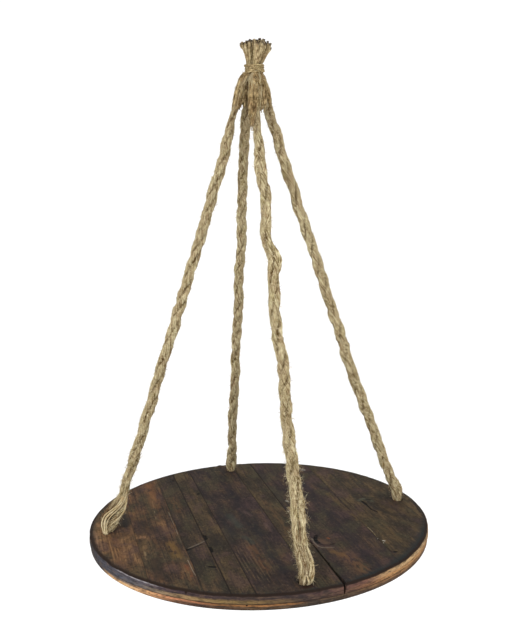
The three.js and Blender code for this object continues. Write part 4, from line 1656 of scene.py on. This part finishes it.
@dataclass
class Plank:
    """One plank of the round board, from one seam to the next."""

    number: int
    low: float
    high: float
    finish: PlankFinish
    rows: int = 150
    pitch: float = 3.0
    holes: tuple[Side, ...] = ()
    outer_low: bool = field(init=False)
    outer_high: bool = field(init=False)

    RIM = (
        (259.0, 0.0), (261.6, -0.5), (263.6, -1.6), (264.7, -3.2), (265.0, -5.0), (265.0, -12.0),
        (264.7, -12.6), (263.95, -13.1), (263.8, -13.8), (263.8, -20.3), (263.2, -21.5), (262.0, -22.0),
    )
    CHIPS = ((1.42, 0.03, 2.2), (1.50, 0.02, 1.4), (-1.95, 0.02, 1.1))

    def __post_init__(self) -> None:
        """Sees which of its sides lies on the rim."""
        self.outer_low, self.outer_high = self.low <= -BOARD_RADIUS, self.high >= BOARD_RADIUS

    def shares(self) -> np.ndarray:
        """Gives the columns' places from the low to the high side, closer together at worn edges.

        Returns:
            Shares of the plank's width, from 0 to 1.
        """
        width = self.high - self.low
        inner = np.linspace(2.4, width - 2.4, max(int(width / self.pitch), 4)) / width
        edge = np.array([0.0, 0.5, 1.2]) / width
        if self.outer_low or self.outer_high:
            far = 1 - (1 - np.linspace(0, 1, int(width / self.pitch) + 8)[1:]) ** 2
            far = np.concatenate([edge, far[far > 2.0 / width]])
            return far if self.outer_high else (1 - far)[::-1]
        return np.concatenate([edge, inner, 1 - edge[::-1]])

    def across(self, reach: np.ndarray, share: float) -> np.ndarray:
        """Gives the place across the grain, where an outer plank ends at the rim's own reach."""
        low = -reach if self.outer_low else np.full(len(reach), self.low)
        high = reach if self.outer_high else self.high
        return low + (high - low) * share

    def loop(self) -> tuple[np.ndarray, np.ndarray, np.ndarray]:
        """Gives the closed section along the grain: the rim's reach, the height and the share along it.

        Returns:
            Three rows of numbers, one for each point of the section.
        """
        spread, flat = np.linspace(-1, 1, self.rows), np.ones(self.rows)
        rim = np.array(self.RIM)
        middle, ones = rim[1:-1], np.ones(len(self.RIM) - 2)
        reach, height = (
            np.concatenate([flat * first, between, flat * last, between[::-1]])
            for first, between, last in zip(rim[0], middle.T, rim[-1])
        )
        return reach, height, np.concatenate([spread, ones, spread[::-1], -ones])

    def points(self) -> np.ndarray:
        """Gives all points, column by column, in millimetres of the board's axes.

        Returns:
            The places by column and by point of the section.
        """
        reach, height, along = self.loop()
        columns = []
        for share in self.shares():
            u = self.across(reach, share)
            v = along * np.sqrt(np.maximum(reach ** 2 - u ** 2, 0))
            columns.append(np.column_stack([u, v, height]))
        grid = np.array(columns)
        self.wear(grid)
        return grid

    def wear(self, grid: np.ndarray) -> None:
        """Wears the face, the sides' upper edges and the rim of a grid of points.

        Args:
            grid: Points by column, in millimetres of the board's axes, which are moved in place.
        """
        u, v, z = (grid[..., k].copy() for k in range(3))
        low_gap = np.full(u.shape, NO_SEAM) if self.outer_low else u - self.low
        high_gap = np.full(u.shape, NO_SEAM) if self.outer_high else self.high - u
        beside = np.minimum(low_gap, high_gap)
        uneven = 0.6 + 0.5 * smooth_noise(v / 17, 0 * v + self.number, 5)
        around, reach = np.arctan2(v, u), np.hypot(u, v)
        rough = 0.12 * smooth_noise(u / 30, v / 70, self.number) + 0.05 * smooth_noise(u / 6, v / 60, 9)
        raised = 1.7 * hump(around, 1.6, 0.028) * soft_step(reach, 246, 256)
        rounded = 0.22 * uneven * (1 - soft_step(beside, 0, 1.3))
        grid[..., 2] += (z > -0.01) * (0.1 * math.sin(self.number * 2.1) + rough + raised - rounded)
        dent = np.maximum(smooth_noise(around * 42, z * 0.25, 3), 0) * 0.5
        dent += np.maximum(smooth_noise(around * 130, z * 0.5, 4), 0) * 0.25
        chip = sum(depth * hump(around, place, width) for place, width, depth in self.CHIPS)
        inward = (dent + chip * (z > -9)) * (z > -6) + dent * 0.4
        on_rim = (z < -0.3) & (z > -21.9)
        shrink = 1 - on_rim * inward / np.maximum(reach, 1)
        grid[..., 1] *= shrink
        grid[..., 0] = np.where(beside < 0.01, u, u * np.where(beside < 6, 1, shrink))
        if self.number == OPENED_PLANK:
            ragged = 1 + 0.35 * smooth_noise(v / 7, 0 * v, 12)
            down = np.clip((OPENED_FROM - v) / (BOARD_RADIUS + OPENED_FROM), 0, 1)
            width = (1.2 + 2.0 * down + 2.6 * down ** 6) * (v < OPENED_FROM) * ragged
            grid[..., 0] += width * (1 - soft_step(-z, 7, 15)) * (1 - soft_step(low_gap, 0, 30))

    def build(self) -> None:
        """Builds the plank, cuts its rope holes and gives it its finish."""
        grid = self.points()
        columns, size = grid.shape[:2]
        places = BOARD.place(grid.reshape(-1, 3))
        faces = [
            (i * size + j, i * size + (j + 1) % size, (i + 1) * size + (j + 1) % size, (i + 1) * size + j)
            for i in range(columns - 1) for j in range(size)
        ]
        faces += self.side_faces(0, size) + self.side_faces((columns - 1) * size, size)
        mesh = bpy.data.meshes.new(f"plank_{self.number}")
        mesh.from_pydata(places.tolist(), [], faces)
        piece = put_in_scene(f"oak_plank_{self.number}", mesh)
        close_up(piece, merge=1e-6)
        for side in self.holes:
            bore(piece, LEGS[side])
        close_up(piece, merge=1e-6, sharp=SHARP_DEGREES)
        piece.data.materials.clear()
        piece.data.materials.append(self.finish.build())
        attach(piece, "hung_shelf")
        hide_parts(f"plank_{self.number}")
        report(piece)

    def side_faces(self, first: int, size: int) -> list[tuple[int, ...]]:
        """Closes one side of the plank, from its face to its underside."""
        levels = len(self.RIM) - 2
        under = self.rows + levels
        opposite = [under + self.rows - 1 - j for j in range(self.rows)]
        made = [(j, j + 1, opposite[j + 1], opposite[j]) for j in range(self.rows - 1)]
        made.append(tuple(range(self.rows - 1, under + 1)))
        made.append((0, opposite[0], *range(under + self.rows, size)))
        return [tuple(first + index for index in face) for face in made]


def bore(piece: Object, leg: Leg) -> None:
    """Cuts a rope hole through a plank.

    Args:
        piece: The plank.
        leg: The leg whose hole it is.
    """
    drill = bmesh.new()
    radius = HOLE_RADIUS * MM
    bmesh.ops.create_cone(drill, cap_ends=True, segments=32, radius1=radius, radius2=radius, depth=0.05)
    mesh = bpy.data.meshes.new("drill")
    drill.to_mesh(mesh)
    drill.free()
    tool = put_in_scene("drill", mesh)
    tool.data.transform(BOARD.matrix() @ Matrix.Translation((*(leg.hole() * MM), -BOARD_THICKNESS / 2 * MM)))
    cut = piece.modifiers.new("cut", "BOOLEAN")
    cut.operation, cut.solver, cut.object = "DIFFERENCE", "EXACT", tool
    graph = bpy.context.evaluated_depsgraph_get()
    bored = bpy.data.meshes.new_from_object(piece.evaluated_get(graph))
    piece.modifiers.remove(cut)
    piece.data = bored
    bpy.data.objects.remove(tool)


@dataclass(frozen=True)
class BeechFinish:
    """Plain turned beech of the dowels inside the board."""

    name: str = "beech"

    def build(self) -> Material:
        """Makes the material."""
        surface = Surface(self.name)
        x, y, z = surface.parts(surface.place())
        grain = surface.noise(surface.joined(x * 60.0, y * 500.0, z * 900.0), 1.0, 3.0)
        colour = surface.mix(grain.rise(0.35, 0.65), (168, 132, 92), (198, 164, 120))
        surface.relief(grain, 0.0002)
        return surface.finish(colour, 0.6)


class Wood(Enum):
    """Four tones of each kind of plank, from its darkest stain to its warmest bare wood."""

    WARM = ((46, 37, 31), (71, 54, 40), (95, 70, 48), (122, 93, 64))
    WARM_DARK = ((40, 33, 28), (61, 47, 37), (81, 59, 42), (109, 81, 54))
    DARK = ((34, 29, 26), (44, 37, 31), (56, 46, 35), (72, 57, 41))
    PURPLE = ((33, 28, 29), (42, 34, 33), (52, 42, 36), (68, 52, 40))
    OLIVE = ((36, 31, 26), (48, 41, 32), (60, 49, 35), (77, 62, 43))


PALE = (128, 108, 80)
WHITE = (176, 170, 156)
ORANGE = (98, 66, 42)
GREY = (104, 93, 80)
BLACK = (12, 9, 8)
FACE_MARKS = {
    1: (
        Mark(-232, -20, -226, -100, 16, ORANGE, 0.3, 0.9, True),
        Mark(-205, 70, -207, 30, 15, (34, 30, 28), 0.8, 0.9),
        *(Mark(-240 + 2.3 * k, -14 - 7 * k, -238 + 2.3 * k, -96 + 3 * k, 0.9,
               (130, 100, 66) if k % 2 else BLACK, 0.45, 0.8, True) for k in range(7)),
        Mark(-256, 20, -254, -30, 5, (126, 98, 78), 0.4, 0.9, True),
        # Painted shadow on the board just right of the left rope's hole.
        Mark(-226, 16, -214, 24, 9, BLACK, 0.55, 0.95),
    ),
    2: (
        Mark(-153, 118, -158, 40, 1.1, PALE, 0.5, 0.6, True),
        *trail(0.8, (126, 114, 96), (-134.4, 60), (-134.5, -20), (-134.6, -88), share=0.5, broken=True),
        *trail(0.9, (132, 118, 100), (-136.0, -124), (-135.2, -160), (-133.2, -196), share=0.55, broken=True),
        Mark(-148, 200, -150, 90, 13, ORANGE, 0.7, 0.9, True),
        # Painted shadow cast on the board by the left rope's foot.
        Mark(-192, 55, -164, -10, 17, (34, 30, 27), 0.5, 0.95),
        Mark(-196, -23, -176, -29, 8.0, (132, 98, 72), 0.7, 0.98, True),
        Mark(-150, -60, -148, -110, 13, (112, 84, 44), 0.5, 0.95, True),
        Mark(-180, -110, -182, -170, 12, (40, 32, 28), 0.6, 0.9),
        Mark(-190, -60, -192, -104, 2.6, PALE, 0.5, 0.8, True),
        Mark(-141, -140, -140, -176, 5, (112, 66, 42), 0.45, 0.95, True),
    ),
    3: (
        *trail(3.6, BLACK, (-131.0, -92), (-127.0, -89.6), share=0.95, depth=3.0),
        *trail(2.0, BLACK, (-127.6, -91.5), (-106, -76.5), share=0.85),
        *trail(2.2, (94, 86, 76), (-127.4, -85.5), (-114, -77.5), (-101.5, -68.4), share=0.55),
        Mark(-110, -155, -104, -159, 3.4, BLACK, 0.95, 0.6, False, 2.0),
        Mark(-104, 205, -104, 203, 3.4, BLACK, 0.8, 0.6, False, 2.0),
        Mark(-118, 120, -116, 60, 13, ORANGE, 0.3, 0.9, True),
    ),
    4: (
        Mark(-97.6, -50, -97.6, -62, 4.2, BLACK, 0.95, 0.6, False, 3.0),
        Mark(-97.4, -94, -97.6, -108, 3.6, BLACK, 0.95, 0.6, False, 2.0),
        Mark(-72, 130, -74, 124, 4.0, BLACK, 0.8, 0.7),
        Mark(-84, -30, -84, -90, 12, (34, 30, 28), 0.6, 0.9, True),
        Mark(-82, 90, -84, 30, 9, (70, 58, 42), 0.45, 0.9, True),
    ),
    5: (
        Mark(-17, 200, -17, -200, 13, (28, 26, 30), 0.6, 0.9, True),
        Mark(-44, 20, -38, -30, 11, (50, 54, 47), 0.6, 0.95),
        Mark(-20, 40, -12, 8, 8, (80, 62, 58), 0.5, 0.95, True),
        Mark(-40, -70, -34, -96, 8, (46, 50, 45), 0.6, 0.95),
        Mark(4, -30, 2, -60, 7, (86, 66, 62), 0.45, 0.95, True),
        Mark(-50, 60, -56, -60, 12, (30, 30, 32), 0.5, 0.9, True),
        *(Mark(-66 + 2.6 * k, -122 + 4 * k, -64 + 2.6 * k, -200 - 3 * k, 0.85,
               BLACK if k % 2 else (88, 70, 52), 0.55, 0.8, True) for k in range(12)),
        Mark(-40, -110, -36, -190, 11, ORANGE, 0.4, 0.9, True),
        # Dark stain with painted shade in front of the front rope's hole.
        Mark(-2, -252, 6, -250, 8.0, (40, 24, 16), 0.8, 0.9),
    ),
    6: (
        Mark(26, 60, 30, -80, 9, (84, 62, 42), 0.5, 0.95, True),
    ),
    7: (
        Mark(64, -116, 70, -128, 9.0, (78, 60, 47), 0.7, 0.95),
        *trail(1.6, GREY,
               (54.5, -106), (53.2, -121), (54.8, -135), (59, -142), (66, -144.2), (75.1, -146), share=0.5),
        *trail(3.3, BLACK,
               (63.6, -100.5), (59.6, -107.8), (57.8, -117), (59.0, -126), share=0.97, soft=0.5, depth=3.0),
        *trail(2.0, (26, 18, 14), (59.0, -126), (62.6, -133), (71.7, -136.8), (80, -134), share=0.85),
        *trail(1.0, (34, 26, 20), (61.4, -104.6), (66, -102.6), (72.7, -107.4), (77, -108.6), share=0.7),
        Mark(77.6, -111.6, 79, -115, 2.8, (104, 58, 32), 0.8, 0.9),
        Mark(84, -140, 92, -134, 1.2, BLACK, 0.4, 0.8),
        Mark(70, -160, 82, -176, 9, (96, 70, 40), 0.5, 0.95, True),
        Mark(82, -176, 92, -240, 20, (92, 66, 44), 0.6, 0.95, True),
        Mark(61, 50, 63, 48, 4.6, WHITE, 0.4, 0.9, True),
        Mark(133, 190, 135, 187, 5.0, WHITE, 0.4, 0.9, True),
        Mark(112, 220, 112, -220, 17.0, (32, 28, 33), 0.5, 0.9, True),
        Mark(138, 60, 145, -60, 8.0, (84, 68, 40), 0.5, 0.9, True),
    ),
    8: (
        *trail(4.5, (66, 66, 55), (176, 16), (186, 22), (196, 6), share=0.6, soft=0.95),
        *trail(3.0, BLACK, (179.2, 9), (180.6, -5), share=0.95, depth=3.0),
        *trail(1.9, BLACK, (180.6, -5), (181, -27), (186, -40), share=0.9, depth=2.0),
        Mark(190, 17, 194, 12, 3.4, BLACK, 0.85, 0.8), Mark(176, 30, 206, 22, 1.2, BLACK, 0.5, 0.8),
        Mark(190, -24, 206, -60, 7.0, (34, 30, 27), 0.6, 0.9),
        Mark(186, 42, 210, 20, 1.2, PALE, 0.3, 0.8, True),
        Mark(152.5, -186.5, 154.5, -186.5, 2.9, BLACK, 1.0, 0.4, False, 3.0),
        Mark(146, -134, 147, -136, 1.6, WHITE, 0.7, 0.8), Mark(152, -145, 154, -147, 1.7, WHITE, 0.8, 0.8),
        Mark(150, -152, 150, -153, 1.2, WHITE, 0.6, 0.8),
        *trail(0.8, (120, 108, 86), (149, -92), (150, -112), (148, -130), share=0.7, broken=True),
        Mark(170, -60, 178, -170, 15, (78, 62, 40), 0.45, 0.9, True),
        Mark(220, 0, 232, -70, 16, (78, 62, 42), 0.4, 0.9, True),
        *trail(1.5, BLACK, (256, -4), (257.5, -22), (250, -63), share=0.85),
        Mark(232, -4, 240, -6, 4.0, (74, 40, 26), 0.6, 0.95),
    ),
}


@dataclass
class Board:
    """The round board of eight planks and its dowels."""

    seams: tuple[float, ...] = (-0.747, -0.498, -0.374, -0.257, 0.053, 0.185, 0.555)
    kinds: tuple[Wood, ...] = (
        Wood.WARM, Wood.WARM_DARK, Wood.DARK, Wood.OLIVE, Wood.PURPLE, Wood.OLIVE, Wood.PURPLE, Wood.OLIVE,
    )
    seam_shares: tuple[float, ...] = (0.0, 0.3, 0.25, 0.8, 0.6, 0.35, 0.8, 0.3, 0.0)
    gap: float = 0.3

    HOLES = {1: (Side.LEFT,), 5: (Side.FRONT, Side.BACK), 6: (Side.BACK,), 8: (Side.RIGHT,)}

    def build(self) -> None:
        """Builds the planks and gives the dowels their finish."""
        edges = [-BOARD_RADIUS, *(share * BOARD_RADIUS for share in self.seams), BOARD_RADIUS]
        for number, kind in enumerate(self.kinds, 1):
            low, high = edges[number - 1:number + 1]
            seams, marks = self.seam_shares[number - 1:number + 1], FACE_MARKS[number]
            finish = PlankFinish(f"oak_{number}", kind.value, number * 13.7, low, high, seams, marks)
            inner_low = low if number == 1 else low + self.gap / 2
            inner_high = high if number == len(self.kinds) else high - self.gap / 2
            Plank(number, inner_low, inner_high, finish, holes=self.HOLES.get(number, ())).build()
        beech = BeechFinish().build()
        for name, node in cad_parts.items():
            if name.startswith("dowel"):
                node.data.materials.clear()
                node.data.materials.append(beech)


@dataclass(frozen=True)
class PhotoCamera:
    """The camera, at the photograph's place and angle of view."""

    place: tuple[float, float, float] = (0.0, -1.3255, -0.1515)
    pitch: float = 0.1612
    yaw: float = -0.0042
    roll: float = -0.0093
    sensor: float = 36.0
    focal_pixels: float = 877.0
    photo_height: int = 632

    def build(self) -> None:
        """Makes the camera and sets it as the scene's own."""
        data = bpy.data.cameras.new("camera")
        data.sensor_fit, data.sensor_width = "AUTO", self.sensor
        data.lens = self.sensor * self.focal_pixels / self.photo_height
        data.clip_start, data.clip_end = 0.01, 50
        level = math.cos(self.pitch)
        ahead = Vector((math.sin(self.yaw) * level, math.cos(self.yaw) * level, -math.sin(self.pitch)))
        flat = Vector((math.cos(self.yaw), -math.sin(self.yaw), 0))
        upright = flat.cross(ahead)
        right = flat * math.cos(self.roll) + upright * math.sin(self.roll)
        above = upright * math.cos(self.roll) - flat * math.sin(self.roll)
        turn = Matrix((right, above, -ahead)).transposed().to_4x4()
        camera = bpy.data.objects.new("camera", data)
        camera.matrix_world = Matrix.Translation(self.place) @ turn
        bpy.context.scene.collection.objects.link(camera)
        bpy.context.scene.camera = camera


@dataclass(frozen=True)
class Lamp:
    """One large soft lamp, aimed at the middle of the object."""

    name: str
    place: tuple[float, float, float]
    size: float
    power: float
    aim: tuple[float, float, float] = (0.0, 0.0, -0.45)

    def build(self) -> None:
        """Makes the lamp."""
        data = bpy.data.lights.new(self.name, "AREA")
        data.shape, data.size, data.energy = "DISK", self.size, self.power
        lamp = bpy.data.objects.new(self.name, data)
        away = Vector(self.aim) - Vector(self.place)
        turn = away.to_track_quat("-Z", "Y").to_matrix().to_4x4()
        lamp.matrix_world = Matrix.Translation(self.place) @ turn
        bpy.context.scene.collection.objects.link(lamp)


@dataclass
class Studio:
    """A white floor that curves up into a backdrop, with soft lamps round the object."""

    floor: float = -1.6
    half_width: float = 9.0
    front: float = -7.0
    back: float = 5.0
    bend: float = 2.5
    height: float = 9.0
    lamps: tuple[Lamp, ...] = (
        Lamp("key_lamp", (-1.7, -2.6, 0.5), 2.2, 52.0),
        Lamp("fill_lamp", (2.4, -2.2, -0.1), 2.6, 34.0),
        Lamp("top_lamp", (0.2, 0.6, 2.6), 2.4, 42.0),
    )

    def backdrop(self) -> None:
        """Makes the floor and backdrop as one bent sheet."""
        flat_end = self.back - self.bend
        curve = [(self.front, self.floor), (flat_end, self.floor)]
        for turn in np.linspace(0, math.pi / 2, 17)[1:]:
            rise = self.bend * (1 - math.cos(turn))
            curve.append((flat_end + self.bend * math.sin(turn), self.floor + rise))
        curve.append((self.back, self.height))
        points = [(side * self.half_width, y, z) for y, z in curve for side in (-1, 1)]
        faces = [(2 * i, 2 * i + 1, 2 * i + 3, 2 * i + 2) for i in range(len(curve) - 1)]
        mesh = bpy.data.meshes.new("backdrop")
        mesh.from_pydata(points, [], faces)
        sheet = put_in_scene("backdrop", mesh)
        mesh.shade_smooth()
        surface = Surface("white_paper")
        tone = surface.noise(surface.place(), 2.0, 2.0)
        colour = surface.mix(tone, (250, 250, 250), (253, 253, 253))
        mesh.materials.append(surface.finish(colour, 0.9, 0.0))

    def build(self) -> None:
        """Makes the sheet, the even light all round and the lamps."""
        self.backdrop()
        world = bpy.data.worlds.new("even_light")
        world.use_nodes = True
        ground = world.node_tree.nodes["Background"]
        ground.inputs["Color"].default_value = (1.0, 1.0, 1.0, 1.0)
        ground.inputs["Strength"].default_value = 0.9
        bpy.context.scene.world = world
        bpy.context.scene.view_settings.view_transform = "Standard"
        for lamp in self.lamps:
            lamp.build()


def main() -> None:
    """Builds the camera, the ropes, the binding, the crown, the board and the studio."""
    logging.basicConfig(level=logging.INFO, format="%(name)s: %(message)s")
    PhotoCamera().build()
    shop = Workshop()
    # Each soiled stretch darkens a rope's foot for dirt and as painted shade between its loose yarns.
    ropes = (
        HungRope(
            "rope_fore_aft", (Side.FRONT, Side.BACK), 0,
            slack=((0.58, 0.76, 0.3),), soiled=((0.715, 0.05, 0.8),),
        ),
        HungRope(
            "rope_across", (Side.LEFT, Side.RIGHT), 1, phase=1.0,
            slack=((0.65, 0.76, 0.2),), soiled=((0.715, 0.045, 1.6),),
        ),
    )
    for rope in ropes:
        rope.build(shop)
    legs = {side: Line.through(rope.descend(side), rope.step) for rope in ropes for side in rope.sides}
    for table in (STRAYS, SLACK_YARNS):
        for number, yarn in enumerate(table, 1):
            yarn.build(number, legs[yarn.side], shop)
    Neck().build(ropes, shop)
    Crown().build(shop)
    Binding().build(shop)
    Board().build()
    Studio().build()


if __name__ == "__main__":
    main()
